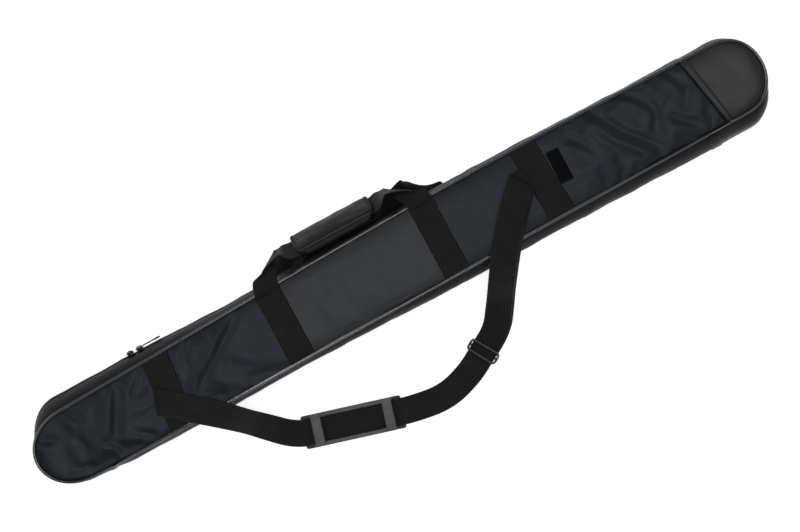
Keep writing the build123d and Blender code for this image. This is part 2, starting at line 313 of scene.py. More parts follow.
def rounded_box(name, low, high, bevel, segments=3):
    """A box with rounded edges between two corners."""
    work = bmesh.new()
    bmesh.ops.create_cube(work, size=1.0)
    size = [b - a for a, b in zip(low, high)]
    middle = [(a + b) / 2 for a, b in zip(low, high)]
    for v in work.verts:
        v.co = Vector([middle[k] + v.co[k] * size[k] for k in range(3)])
    bmesh.ops.bevel(work, geom=work.edges[:], offset=bevel, segments=segments, profile=0.5, affect="EDGES")
    mesh = bpy.data.meshes.new(name)
    work.to_mesh(mesh)
    work.free()
    mesh.shade_smooth()
    thing = bpy.data.objects.new(name, mesh)
    bpy.context.scene.collection.objects.link(thing)
    return thing


def place(thing, matrix):
    """Moves a piece's mesh, leaving its object at the origin."""
    thing.data.transform(matrix)
    return thing


RIBS = 10


def rib_shape(across):
    """The small height of the webbing's lengthwise ribs at a share of its width."""
    edge = min(across, 1 - across) * RIBS * 2
    selvedge = min(edge / 0.5, 1.0)
    return 0.36 * MM * abs(sin(pi * RIBS * across)) ** 0.6 * selvedge


def ribbon(name, spine, across, width, thickness=WEBBING, ribbed=True):
    """Webbing along a line of points: across holds each point's widthwise direction."""
    spine = [Vector(p) for p in spine]
    across = [Vector(a).normalized() for a in across]
    steps = RIBS * 4 if ribbed else 12
    shares = [k / steps for k in range(steps + 1)]
    points = []
    uvs = []
    travelled = 0.0
    for i, p in enumerate(spine):
        before = spine[max(i - 1, 0)]
        after = spine[min(i + 1, len(spine) - 1)]
        tangent = (after - before).normalized()
        normal = tangent.cross(across[i]).normalized()
        if i:
            travelled += (p - before).length
        ring = [(s, 1) for s in shares] + [(s, -1) for s in reversed(shares)]
        for share, face in ring:
            lift = thickness / 2 + (rib_shape(share) if ribbed else 0.0)
            lift *= 1 - 0.55 * (abs(2 * share - 1) ** 24)
            points.append(p + across[i] * width * (share - 0.5) + normal * face * lift)
            uvs.append((travelled, share * width))
    columns = 2 * len(shares)
    faces = grid_faces(len(spine), columns, closed=True)
    faces += end_faces(len(spine), columns)
    thing = new_object(name, points, faces, uvs)
    fix_normals(thing)
    return thing


def spline_points(points, resolution=24):
    """The points of a smooth open NURBS line with the given control points, in metres."""
    data = bpy.data.curves.new("route", "CURVE")
    data.dimensions = "3D"
    data.resolution_u = resolution
    line = data.splines.new("NURBS")
    line.points.add(len(points) - 1)
    for control, p in zip(line.points, points):
        control.co = (*p, 1.0)
    line.order_u = 3
    line.use_endpoint_u = True
    holder = bpy.data.objects.new("route", data)
    bpy.context.scene.collection.objects.link(holder)
    mesh = bpy.data.meshes.new_from_object(holder)
    found = [v.co.copy() for v in mesh.vertices]
    bpy.data.objects.remove(holder)
    bpy.data.meshes.remove(mesh)
    return found


def even_points(points, step):
    """The same line with evenly spaced points."""
    points = [Vector(p) for p in points]
    lengths = [0.0]
    for a, b in zip(points, points[1:]):
        lengths.append(lengths[-1] + (b - a).length)
    count = max(int(lengths[-1] / step), 2)
    places = np.linspace(0, lengths[-1], count + 1)
    columns = [np.interp(places, lengths, [p[k] for p in points]) for k in range(3)]
    return [Vector(p) for p in zip(*columns)], lengths[-1]


def stitch_line(name, path, pitch, thread, gap=0.35):
    """A row of short thread stitches along a line of points."""
    points, _ = even_points(path, pitch)
    stitches = []
    for a, b in zip(points, points[1:]):
        span = (b - a) * (1 - gap)
        bits = [a, a + span * 0.25, a + span * 0.75, a + span]
        lifts = [-0.3, 0.35, 0.35, -0.3]
        line = [p + Vector((0, 0, thread * lift)) for p, lift in zip(bits, lifts)]
        stitches.append(tube("stitch", line, thread / 2, sides=5))
    return join(name, stitches)


# ---------------------------------------------------------------- cloth simulation

SIMULATED_FRAMES = 20
CLOTH_STIFFNESS = 12
CLOTH_BENDING = 0.4
PAD_PRESSURE = 4.0
PAD_VOXEL = 1.1 * MM
PANEL_GROWTH = 0.008
PANEL_LIFT = 2.2 * MM


def run_cloth(thing, sewn, pressure, growth):
    """Lets Blender's cloth settle a mesh held at its sewn points; gives the settled points."""
    group = thing.vertex_groups.new(name="sewn")
    group.add([v.index for v in thing.data.vertices if sewn(v.co)], 1.0, "REPLACE")
    cloth = thing.modifiers.new("cloth", "CLOTH")
    cloth.settings.quality = 5
    cloth.settings.vertex_group_mass = "sewn"
    cloth.settings.use_pressure = pressure > 0
    cloth.settings.uniform_pressure_force = pressure
    cloth.settings.shrink_min = -growth
    cloth.settings.tension_stiffness = CLOTH_STIFFNESS
    cloth.settings.compression_stiffness = CLOTH_STIFFNESS
    cloth.settings.bending_stiffness = CLOTH_BENDING
    cloth.settings.effector_weights.gravity = 0
    cloth.collision_settings.use_collision = False
    cloth.point_cache.frame_end = SIMULATED_FRAMES
    for number in range(1, SIMULATED_FRAMES + 1):
        bpy.context.scene.frame_set(number)
    settled = thing.evaluated_get(bpy.context.evaluated_depsgraph_get()).to_mesh()
    points = [v.co.copy() for v in settled.vertices]
    thing.modifiers.remove(cloth)
    thing.vertex_groups.remove(group)
    bpy.context.scene.frame_set(1)
    return points


def inflate(thing, sewn, limit):
    """Remeshes a padded piece and swells it by simulation, no point further than limit."""
    remesh = thing.modifiers.new("remesh", "REMESH")
    remesh.mode = "VOXEL"
    remesh.voxel_size = PAD_VOXEL
    filled = bpy.data.meshes.new_from_object(thing.evaluated_get(bpy.context.evaluated_depsgraph_get()))
    thing.modifiers.clear()
    thing.data = filled
    settled = run_cloth(thing, sewn, PAD_PRESSURE, 0.0)
    for v, goal in zip(thing.data.vertices, settled):
        move = goal - v.co
        if move.length > limit:
            move *= limit / move.length
        v.co += move
    thing.modifiers.new("smooth", "SUBSURF").levels = 1
    thing.data = bpy.data.meshes.new_from_object(thing.evaluated_get(bpy.context.evaluated_depsgraph_get()))
    thing.modifiers.clear()
    thing.data.shade_smooth()
    return thing


def loosen(panel, count, columns, sewn):
    """Lets a slab's top cloth buckle, as it is PANEL_GROWTH larger than the foam it covers."""
    points = [v.co.copy() for v in panel.data.vertices[:count]]
    sheet = new_object("loose_cloth", points, grid_faces(count // columns, columns))
    settled = run_cloth(sheet, sewn, 0.0, PANEL_GROWTH)
    bpy.data.objects.remove(sheet)
    for k, goal in enumerate(settled):
        lift = max(min(goal.z - points[k].z, PANEL_LIFT), -0.5 * PANEL_LIFT) * looseness(points[k].x)
        panel.data.vertices[k].co.z += lift
        panel.data.vertices[k + count].co.z += lift
    return panel


# ---------------------------------------------------------------- materials


class Nodes:
    """A short way to build one procedural material."""

    def __init__(self, name):
        self.material = bpy.data.materials.new(name)
        self.material.use_nodes = True
        self.tree = self.material.node_tree
        self.shader = self.tree.nodes["Principled BSDF"]
        self.coords = self.add("ShaderNodeTexCoord")

    def add(self, kind, **settings):
        node = self.tree.nodes.new(kind)
        for key, value in settings.items():
            setattr(node, key, value)
        return node

    def link(self, source, target):
        self.tree.links.new(source, target)

    def surface(self, roughness, specular=0.5, sheen=0.0, coat=0.0):
        self.shader.inputs["Roughness"].default_value = roughness
        self.shader.inputs["Specular IOR Level"].default_value = specular
        self.shader.inputs["Sheen Weight"].default_value = sheen
        self.shader.inputs["Coat Weight"].default_value = coat
        self.shader.inputs["Metallic"].default_value = 0.0

    def stretched(self, space, scale):
        mapping = self.add("ShaderNodeMapping")
        mapping.inputs["Scale"].default_value = scale
        self.link(self.coords.outputs[space], mapping.inputs["Vector"])
        return mapping.outputs["Vector"]

    def noise(self, space, scale, detail=3.0, stretch=(1, 1, 1)):
        node = self.add("ShaderNodeTexNoise")
        node.inputs["Scale"].default_value = scale
        node.inputs["Detail"].default_value = detail
        self.link(self.stretched(space, stretch), node.inputs["Vector"])
        return node.outputs["Fac"]

    def wave(self, space, scale, direction):
        node = self.add("ShaderNodeTexWave", bands_direction=direction, wave_profile="SIN")
        node.inputs["Scale"].default_value = scale
        self.link(self.coords.outputs[space], node.inputs["Vector"])
        return node.outputs["Fac"]

    def cells(self, scale):
        node = self.add("ShaderNodeTexVoronoi")
        node.inputs["Scale"].default_value = scale
        self.link(self.coords.outputs["Object"], node.inputs["Vector"])
        return node.outputs["Distance"]

    def math(self, operation, a, b):
        node = self.add("ShaderNodeMath", operation=operation)
        for socket, value in zip(node.inputs, (a, b)):
            if isinstance(value, (int, float)):
                socket.default_value = value
            else:
                self.link(value, socket)
        return node.outputs["Value"]

    def colour_ramp(self, factor, stops):
        ramp = self.add("ShaderNodeValToRGB")
        while len(ramp.color_ramp.elements) < len(stops):
            ramp.color_ramp.elements.new(0.5)
        for element, (position, colour) in zip(ramp.color_ramp.elements, stops):
            element.position = position
            element.color = (*colour, 1.0)
        self.link(factor, ramp.inputs["Fac"])
        self.link(ramp.outputs["Color"], self.shader.inputs["Base Color"])

    def roughness_from(self, factor, low, high):
        spread = self.add("ShaderNodeMapRange")
        spread.inputs["To Min"].default_value = low
        spread.inputs["To Max"].default_value = high
        self.link(factor, spread.inputs["Value"])
        self.link(spread.outputs["Result"], self.shader.inputs["Roughness"])

    def bump(self, height, strength, distance):
        node = self.add("ShaderNodeBump")
        node.inputs["Strength"].default_value = strength
        node.inputs["Distance"].default_value = distance
        self.link(height, node.inputs["Height"])
        self.link(node.outputs["Normal"], self.shader.inputs["Normal"])


def shade(colour, factor):
    return tuple(channel * factor for channel in colour)


def nylon_material(name, colour, gloss, roughness=0.34):
    """Coated woven nylon: fine crossed threads, a soft sheen, slight cloudy wear."""
    m = Nodes(name)
    warp = m.wave("Object", 320.0, "X")
    weft = m.wave("Object", 320.0, "Y")
    upright = m.wave("Object", 320.0, "Z")
    weave = m.math("ADD", m.math("MULTIPLY", warp, weft), m.math("MULTIPLY", upright, 0.5))
    cloud = m.noise("Object", 14.0)
    slub = m.noise("Object", 260.0, 2.0, (0.15, 1, 1))
    tone = m.math("ADD", m.math("MULTIPLY", cloud, 0.7), m.math("MULTIPLY", slub, 0.3))
    m.colour_ramp(tone, [(0.3, shade(colour, 0.8)), (0.55, colour), (0.8, shade(colour, 1.5))])
    m.surface(roughness, gloss)
    m.roughness_from(tone, roughness - 0.05, roughness + 0.06)
    m.shader.inputs["Specular Tint"].default_value = (0.90, 0.94, 1.0, 1.0)
    m.bump(m.math("ADD", weave, m.math("MULTIPLY", slub, 0.6)), 0.35, 0.0003)
    return m.material


def lining_material():
    m = Nodes("brushed_lining")
    nap = m.noise("Object", 900.0, 4.0)
    cloud = m.noise("Object", 25.0)
    m.colour_ramp(cloud, [(0.3, (0.02, 0.02, 0.022)), (0.7, (0.04, 0.04, 0.044))])
    m.surface(0.95, 0.15, sheen=0.35)
    m.bump(nap, 0.5, 0.0004)
    return m.material


def foam_material():
    m = Nodes("closed_cell_foam")
    cells = m.cells(900.0)
    m.colour_ramp(cells, [(0.0, (0.42, 0.42, 0.43)), (0.8, (0.6, 0.6, 0.6))])
    m.surface(0.9, 0.2)
    m.bump(cells, 0.4, 0.0003)
    return m.material


def vinyl_material(name, gloss):
    """Smooth matt vinyl with a fine leather grain."""
    m = Nodes(name)
    grain = m.cells(620.0)
    cloud = m.noise("Object", 30.0)
    m.colour_ramp(cloud, [(0.3, (0.008, 0.008, 0.009)), (0.7, (0.012, 0.012, 0.0132))])
    m.surface(0.4, gloss)
    m.roughness_from(cloud, 0.36, 0.46)
    m.bump(grain, 0.16, 0.0003)
    return m.material


def piping_material():
    m = Nodes("glossy_piping")
    scuff = m.noise("Object", 120.0, 4.0)
    m.colour_ramp(scuff, [(0.4, (0.003, 0.003, 0.0034)), (0.75, (0.008, 0.008, 0.009))])
    m.surface(0.1, 1.0)
    m.roughness_from(scuff, 0.07, 0.14)
    m.bump(scuff, 0.1, 0.0003)
    return m.material


def webbing_material():
    """Ribbed webbing: threads run across each rib, in the piece's own length and width. Its colour bands one
    rib wide are painted shade, dark in the grooves between the ribs.
    """
    m = Nodes("ribbed_webbing")
    threads = m.wave("UV", 330.0, "X")
    warp = m.wave("UV", 520.0, "DIAGONAL")
    fuzz = m.noise("UV", 1500.0, 3.0)
    wear = m.noise("Object", 60.0)
    # Painted shade: colour bands one rib apart, dark in the grooves between the ribs; the tone below mixes
    # this painted shade half and half with real wear
    ribs = m.wave("UV", 2 * pi / (20 * STRAP_WIDTH / RIBS), "Y")
    tone = m.math("ADD", m.math("MULTIPLY", wear, 0.5), m.math("MULTIPLY", ribs, 0.5))
    m.colour_ramp(tone, [(0.25, (0.0026, 0.0024, 0.0025)), (0.75, (0.0135, 0.0127, 0.0128))])
    m.surface(0.55, 0.27)
    weave = m.math("ADD", m.math("MULTIPLY", threads, warp), m.math("MULTIPLY", fuzz, 0.5))
    m.bump(weave, 0.6, 0.0004)
    return m.material


def thread_material():
    m = Nodes("sewing_thread")
    twist = m.noise("Object", 1800.0, 2.0)
    m.colour_ramp(twist, [(0.3, (0.011, 0.011, 0.013)), (0.7, (0.03, 0.03, 0.034))])
    m.surface(0.55, 0.4)
    m.bump(twist, 0.4, 0.0002)
    return m.material


def zip_tape_material():
    m = Nodes("zip_tape")
    rows = m.wave("Object", 420.0, "X")
    fuzz = m.noise("Object", 700.0)
    m.colour_ramp(fuzz, [(0.3, (0.010, 0.010, 0.012)), (0.7, (0.018, 0.018, 0.021))])
    m.surface(0.8, 0.25)
    m.bump(m.math("ADD", rows, fuzz), 0.5, 0.0003)
    return m.material


def moulded_material(name, dark, light, roughness):
    """Moulded plastic with a faint spark-eroded texture and light scuffs."""
    m = Nodes(name)
    grit = m.noise("Object", 1300.0, 3.0)
    scuff = m.noise("Object", 45.0, 5.0, (1, 3, 1))
    m.colour_ramp(scuff, [(0.35, dark), (0.7, light)])
    m.surface(roughness, 0.5)
    m.roughness_from(scuff, roughness - 0.06, roughness + 0.1)
    m.bump(grit, 0.18, 0.0002)
    return m.material


def enamel_material():
    m = Nodes("black_enamel")
    chips = m.noise("Object", 420.0, 4.0)
    m.colour_ramp(chips, [(0.5, (0.008, 0.008, 0.009)), (0.82, (0.05, 0.05, 0.05))])
    m.surface(0.3, 0.6, coat=0.4)
    m.roughness_from(chips, 0.22, 0.4)
    m.bump(chips, 0.1, 0.0002)
    return m.material


def hook_loop_material():
    m = Nodes("hook_and_loop")
    hooks = m.noise("Object", 1400.0, 2.0)
    m.colour_ramp(hooks, [(0.35, (0.006, 0.006, 0.006)), (0.7, (0.02, 0.02, 0.02))])
    m.surface(0.9, 0.2, sheen=0.2)
    m.bump(hooks, 0.9, 0.0008)
    return m.material


def label_material():
    """A blank woven label: satin threads across it."""
    m = Nodes("blank_label")
    satin = m.wave("Object", 500.0, "Y")
    fuzz = m.noise("Object", 500.0)
    m.colour_ramp(fuzz, [(0.3, (0.0016, 0.0016, 0.002)), (0.7, (0.003, 0.003, 0.0034))])
    m.surface(0.5, 0.08)
    m.bump(m.math("ADD", satin, m.math("MULTIPLY", fuzz, 0.3)), 0.35, 0.0003)
    return m.material


NYLON = nylon_material("navy_nylon", (0.0056, 0.0086, 0.0152), 0.36)
# A lighter, greyer copy of the navy nylon: painted reflection of the overhead light on the middle of the
# front panel
PAINTED_REFLECTION_NYLON = nylon_material("nylon_with_painted_reflection", (0.0120, 0.0122, 0.0138), 0.52)
WRAP_NYLON = nylon_material("wrap_nylon", (0.0086, 0.0084, 0.0097), 0.30)
SIDE_NYLON = nylon_material("side_nylon", (0.0096, 0.0101, 0.0126), 0.18, 0.52)
LINING = lining_material()
FOAM = foam_material()
VINYL = vinyl_material("grained_vinyl", 0.58)
SIDE_VINYL = vinyl_material("side_vinyl", 0.22)
PIPING = piping_material()
WEB = webbing_material()
THREAD = thread_material()
ZIP_TAPE = zip_tape_material()
COIL = moulded_material("zip_coil", (0.008, 0.008, 0.009), (0.02, 0.02, 0.022), 0.4)
PAD = moulded_material("grey_pad", (0.030, 0.032, 0.036), (0.045, 0.047, 0.052), 0.5)
PAD_LIGHT = moulded_material("pad_flange", (0.084, 0.087, 0.095), (0.120, 0.125, 0.134), 0.46)
ENAMEL = enamel_material()
HOOKS = hook_loop_material()
LABEL = label_material()


def dress(thing, material, body=None, replaces=()):
    """Gives a piece its material, its body and the nodes it stands for."""
    thing.data.materials.clear()
    thing.data.materials.append(material)
    if body:
        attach(thing, body)
    if replaces:
        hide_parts(*replaces)
    return thing


# ---------------------------------------------------------------- the padded body


def stations():
    """Places round the case: (x, side), from the notch round the left end, the +Y side and the cap."""
    turns = [1 - cos(pi / 2 * k / 14) for k in range(15)]
    left = [LEFT_TIP + END_INSET + (LEFT_TURN - LEFT_TIP - END_INSET) * turn for turn in turns]
    right = [RIGHT_TIP - END_INSET - (RIGHT_TIP - RIGHT_TURN - END_INSET) * turn for turn in turns]
    long_side = list(np.arange(LEFT_TURN + STEP, RIGHT_TURN - STEP / 2, STEP))
    plus = left + long_side + right[::-1]
    back = [x for x in reversed(plus[1:-1])]
    loop = [(x, 1) for x in plus] + [(x, -1) for x in back]
    first = next(i for i, (x, side) in enumerate(loop) if side < 0 and x < NOTCH_X)
    return loop[first:] + loop[:first]


def outline_point(x, side, middle, half, reach):
    """A point of one of the body's outlines. reach is how far it stands out past the seam."""
    straight, share = turn_of(x)
    y = middle + side * half * share
    overhang = sqrt(max(1 - share * share, 0.0)) * reach
    direction = -1 if x < 0 else 1
    return Vector((x + direction * overhang, y, 0))


def seam_point(x, side):
    """The front seam, which carries the piping."""
    straight, _ = turn_of(x)
    point = outline_point(x, side, along(SEAM_MIDDLE, straight), along(SEAM_HALF, straight),
                          END_INSET - seam_inset(x))
    point.z = PANEL_EDGE_Z
    return point


def rear_point(x, side):
    point = outline_point(x, side, 0, 41 * MM, 0)
    point.z = REAR_EDGE_Z
    return point


def bulge_point(x, side):
    straight, _ = turn_of(x)
    half = along(OUTER_PLUS if side > 0 else OUTER_MINUS, straight)
    return outline_point(x, side, 0, half, 4.8 * MM)


def wall_point(x, side, q, inward=0.0):
    """A point of the gusset: q is 0 at the front seam and 1 at the rear seam."""
    front, rear, outer = seam_point(x, side), rear_point(x, side), bulge_point(x, side)
    line = front.lerp(rear, q)
    middle = front.lerp(rear, 0.5)
    out = Vector((outer.x - middle.x, outer.y - middle.y, 0))
    swell = max(1 - abs(2 * q - 1) ** 2.4, 0.0) ** 0.85
    point = line + out * swell
    _, share = turn_of(x)
    away = Vector(((-1 if x < 0 else 1) * sqrt(max(1 - share * share, 0.0)), side * share, 0)).normalized()
    soft = 0.9 * MM * noise.noise((x * 34, side * 3.0, q * 2.6)) * swell
    soft += 0.45 * MM * noise.noise((x * 95, side * 5.0, q * 4.0)) * swell
    return point + away * (soft - inward)


def wall_piece(name, places, q_low, q_high, rows, depth=3.0 * MM, proud=0.0):
    """A stretch of the gusset between two shares of its height, as a padded wall."""
    shares = [q_low + (q_high - q_low) * k / rows for k in range(rows + 1)]
    outer = [[wall_point(x, side, q, -proud) for q in shares] for x, side in places]
    inner = [[wall_point(x, side, q, depth) for q in shares] for x, side in places]
    thing = slab(name, outer, inner)
    return thing


LOOP = stations()
CAP_START = next(i for i, (x, side) in enumerate(LOOP) if side > 0 and x > CAP_X)
CAP_END = max(i for i, (x, side) in enumerate(LOOP) if side < 0 and x > CAP_X) + 1
ZIPPED = LOOP[:CAP_START]
ZIPPED = [(NOTCH_X - 0.5 * MM, -1)] + ZIPPED + [(CAP_X - 0.2 * MM, 1)]
CAPPED = [(CAP_X, 1)] + LOOP[CAP_START:CAP_END] + [(CAP_X, -1)]
CLOSED = [(CAP_X - 0.2 * MM, -1)] + LOOP[CAP_END:] + [(NOTCH_X, -1)]
ZIP_EDGE = 0.035
ZIP_TAPE_EDGE = 0.012


def make_gussets():
    upper = wall_piece("gusset_upper", ZIPPED, 0.02, 0.5 - ZIP_EDGE - 0.02, 8)
    dress(upper, SIDE_NYLON, None, ["front_gusset"])
    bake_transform(upper)
    lower = wall_piece("gusset_lower", ZIPPED, 0.5 + ZIP_EDGE + 0.02, 0.98, 8)
    dress(lower, SIDE_NYLON, "root", ["rear_gusset"])
    bend = next(k for k, (x, side) in enumerate(CLOSED) if x < BEND_X)
    closed = wall_piece("gusset_closed_side", CLOSED[bend:], 0.02, 0.98, 30)
    dress(closed, SIDE_NYLON, None, ["hinge_gusset"])
    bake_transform(closed)
    bent = wall_piece("gusset_closed_side_bend", CLOSED[:bend + 1], 0.02, 0.98, 30)
    dress(bent, SIDE_NYLON, None)
    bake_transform(bent)
    cap = wall_piece("gusset_cap", CAPPED, 0.02, 0.98, 18)
    dress(cap, SIDE_VINYL, "root", ["cap_gusset"])
    for end, side in (("plus", 1), ("minus", -1)):
        places = [(CAP_X + past * MM, side) for past in (-5, -1, 4, 7)]
        hem = wall_piece("cap_side_hem_" + end, places, 0.04, 0.96, 16, 0.5 * MM, 0.9 * MM)
        dress(hem, SIDE_VINYL, "root")


def zip_chain(name, q, phase):
    """One half of the zip's coil: rounded turns, one after the other along the zip."""
    pitch = 1.7 * MM
    line = [wall_point(x, side, q, -0.3 * MM) for x, side in ZIPPED]
    points, _ = even_points(line, pitch / 4)
    radii = [(0.75 + 0.32 * cos(2 * pi * (i / 4.0 + phase))) * MM for i in range(len(points))]
    return tube(name, points, radii, sides=6)


def make_zip():
    for name, q_low, q_high, node in (
        ("front", 0.5 - ZIP_EDGE - 0.024, 0.5 - ZIP_TAPE_EDGE, "zip_tape_front"),
        ("rear", 0.5 + ZIP_TAPE_EDGE, 0.5 + ZIP_EDGE + 0.024, "zip_tape_rear"),
    ):
        tape = wall_piece("zip_tape_" + name + "_cloth", ZIPPED, q_low, q_high, 2, 0.8 * MM, -0.5 * MM)
        dress(tape, ZIP_TAPE, "root" if name == "rear" else None, [node])
        if name == "front":
            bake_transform(tape)
    front = zip_chain("zip_coil_front_turns", 0.485, 0.0)
    dress(front, COIL, None, ["zip_coil_front"])
    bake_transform(front)
    rear = zip_chain("zip_coil_rear_turns", 0.515, 0.5)
    dress(rear, COIL, "root", ["zip_coil_rear"])


def seam_x(y):
    """Where the slanted seam between the panel and the cap lies."""
    return CAP_SEAM_X + CAP_SEAM_SLANT * y


def panel_rows():
    """Rows of the front panel from the left tip to the cap's seam: (x at y=0, share to slant)."""
    tip = LEFT_TIP + SEAM_LEFT_INSET + 0.4 * MM
    turn = [tip + (LEFT_TURN - tip) * (1 - cos(pi / 2 * k / 16)) for k in range(17)]
    count = int((CAP_SEAM_X - LEFT_TURN) / (3.2 * MM))
    rest = list(np.linspace(LEFT_TURN, CAP_SEAM_X, count)[1:])
    return turn + rest


def slanted_edges(x0, fade, inset):
    """The panel's edges along a row that leans with the cap's seam."""
    low, high = panel_edges(x0)
    for _ in range(4):
        low = panel_edges(x0 + CAP_SEAM_SLANT * low * fade)[0]
        high = panel_edges(x0 + CAP_SEAM_SLANT * high * fade)[1]
    low, high = low + inset, high - inset
    if high - low < 0.4 * MM:
        low, high = (low + high) / 2 - 0.2 * MM, (low + high) / 2 + 0.2 * MM
    return low, high


def sheet_grid(rows, inset, columns, lift):
    """Grid points over the front panel. Its last rows lean with the cap's seam."""
    grid = []
    for x0 in rows:
        fade = smooth(x0, SLANT_FROM, CAP_SEAM_X)
        low, high = slanted_edges(x0, fade, inset)
        row = []
        for k in range(columns + 1):
            v = -0.5 * cos(pi * k / columns) + 0.5 * (2 * k / columns - 1)
            y = (low + high) / 2 + v * (high - low) / 2
            x = x0 + CAP_SEAM_SLANT * y * fade
            row.append((x, y, panel_height(x, y) + lift))
        grid.append(row)
    return grid


PANEL_COLUMNS = 44
INNER_COLUMNS = 12
SLANT_FROM = 0.25


def panel_slab(name, rows, lift, thickness, inset, columns):
    """A layer of the front panel, at a height above or below the panel's surface."""
    top = sheet_grid(rows, inset, columns, lift)
    bottom = [[(x, y, z - thickness) for x, y, z in row] for row in top]
    return slab(name, top, bottom)


def panel_sewn(point):
    """Where the front panel's cloth is held: at its seams, under the webbing and the label."""
    low, high = panel_edges(min(point.x, RIGHT_TIP - 20 * MM))
    if min(point.y - low, high - point.y) < 1.6 * MM or abs(point.x - seam_x(point.y)) < 2 * MM:
        return True
    reach = 2 * MM
    for name in ("strap_band_left", "strap_band_right", "label"):
        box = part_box(name)
        if box[0][0] - reach < point.x < box[1][0] + reach:
            return True
    return any(abs(point.x - x) < LEG_WIDTH / 2 + reach for x in FRONT_LEGS)


def make_front_panel():
    rows = panel_rows()
    panel = panel_slab("front_panel_cloth", rows, 0.0, 1.4 * MM, 0.6 * MM, PANEL_COLUMNS)
    loosen(panel, len(rows) * (PANEL_COLUMNS + 1), PANEL_COLUMNS + 1, panel_sewn)
    dress(panel, NYLON, None, ["front_panel"])
    # The faces between the handle's legs get the lighter copy: painted reflection of the overhead light
    panel.data.materials.append(PAINTED_REFLECTION_NYLON)
    for face in panel.data.polygons:
        if FRONT_LEGS[0] < face.center.x < FRONT_LEGS[1]:
            face.material_index = 1
    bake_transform(panel)
    inner_rows = [x for x in rows[6:] if x < CAP_SEAM_X - 3 * MM]
    foam = panel_slab("front_foam_pad", inner_rows[::2], -3.2 * MM, 2.2 * MM, 3.5 * MM, INNER_COLUMNS)
    dress(foam, FOAM, None, ["front_foam"])
    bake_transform(foam)
    lining = panel_slab("front_lining_cloth", inner_rows[::2], -5.6 * MM, 0.8 * MM, 2.2 * MM, INNER_COLUMNS)
    dress(lining, LINING, None, ["front_lining"])
    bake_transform(lining)


def cap_rows(start, end):
    """Rows from the slanted seam towards the right tip."""
    count = max(int((end - start) / (2.5 * MM)), 2)
    rows = []
    for k in range(count + 1):
        t = k / count
        share = 1 - (1 - t) ** 2 if end > RIGHT_TURN else t
        rows.append(start + (end - start) * share)
    return rows


def cap_slab(name, start, end, lift, thickness, inset):
    tip = RIGHT_TIP - SEAM_RIGHT_INSET - 0.4 * MM
    top = []
    for x0 in cap_rows(start, min(end, tip)):
        fade = 1 - smooth(x0, CAP_SEAM_X, CAP_SEAM_X + 34 * MM)
        low, high = slanted_edges(x0, fade, inset)
        row = []
        for k in range(37):
            y = (low + high) / 2 - cos(pi * k / 36) * (high - low) / 2
            x = x0 + CAP_SEAM_SLANT * y * fade
            row.append((x, y, panel_height(x, y) + lift))
        top.append(row)
    bottom = [[(x, y, z - thickness) for x, y, z in row] for row in top]
    return slab(name, top, bottom)


def make_cap():
    cap = cap_slab("cap_front_vinyl", CAP_SEAM_X + 0.3 * MM, 1.0, 0.1 * MM, 1.4 * MM, 0.6 * MM)
    dress(cap, VINYL, "root", ["cap_front_panel"])
    hem = cap_slab("cap_hem_fold", CAP_SEAM_X - 0.6 * MM, CAP_SEAM_X + 7.2 * MM,
                   0.9 * MM, 0.8 * MM, 0.8 * MM)
    dress(hem, VINYL, "root", ["cap_hem"])
    lines = []
    for offset in (1.6 * MM, 5.8 * MM):
        path = []
        for step in range(40):
            y = -36 * MM + 80 * MM * step / 39
            low, high = panel_edges(CAP_SEAM_X)
            if low + 2 * MM < y < high - 2 * MM:
                x = seam_x(y) + offset
                path.append((x, y, panel_height(x, y) + 1.05 * MM))
        lines.append(stitch_line("cap_stitch", path, 3.2 * MM, 0.55 * MM))
    stitches = join("cap_hem_stitches", lines)
    dress(stitches, THREAD, "root")
    foam = cap_slab("cap_foam_pad", CAP_SEAM_X + 6 * MM, RIGHT_TIP - 14 * MM, -1.6 * MM, 3.2 * MM, 4.5 * MM)
    dress(foam, FOAM, "root", ["cap_foam"])


def piping_line(places, point_of, lift):
    return [point_of(x, side) + Vector((0, 0, lift)) for x, side in places]


def make_piping():
    minus_end, plus_end = seam_x(-40 * MM), seam_x(45 * MM)
    lid_places = [(minus_end - 0.5 * MM, -1)]
    lid_places += reversed([place for place in CLOSED if place[0] < minus_end])
    lid_places += ZIPPED[1:] + [(plus_end - 0.5 * MM, 1)]
    lid = tube("front_piping_cord", piping_line(lid_places, seam_point, 1.1 * MM), 1.75 * MM, 12)
    dress(lid, PIPING, None, ["front_piping"])
    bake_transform(lid)
    ends = {1: plus_end, -1: minus_end}
    cap_places = [(x, side) for x, side in CAPPED[1:-1] if x > ends[side]]
    cap_places = [(plus_end, 1)] + cap_places + [(minus_end, -1)]
    cap = tube("cap_piping_cord", piping_line(cap_places, seam_point, 1.1 * MM), 1.75 * MM, 12)
    dress(cap, PIPING, "root", ["cap_piping"])
    rear = tube("rear_piping_cord", piping_line(LOOP, rear_point, -0.3 * MM), 1.7 * MM, 10, closed=True)
    dress(rear, PIPING, "root", ["rear_piping"])


REAR_SKIN = (0.1 * MM, 1.7 * MM)
REAR_INSET = 0.5 * MM
REAR_RISE = 0.5 * MM


def rear_slab(name, places, material, nodes):
    """A flat skin inside the rear seam, a little thinner at its edges."""
    z_low, z_high = REAR_SKIN
    top = []
    for x in places:
        low, high = rear_point(x, -1).y + REAR_INSET, rear_point(x, 1).y - REAR_INSET
        high = max(high, low + 0.4 * MM)
        row = []
        for k in range(25):
            y = low + (high - low) * k / 24
            edge = min(k, 24 - k) / 3
            row.append((x, y, z_high - REAR_RISE * max(1 - edge, 0)))
        top.append(row)
    bottom = [[(x, y, z_low + REAR_RISE * max(1 - min(k, 24 - k) / 3, 0))
               for k, (x, y, _) in enumerate(row)] for row in top]
    thing = slab(name, top, bottom)
    return dress(thing, material, "root", nodes)


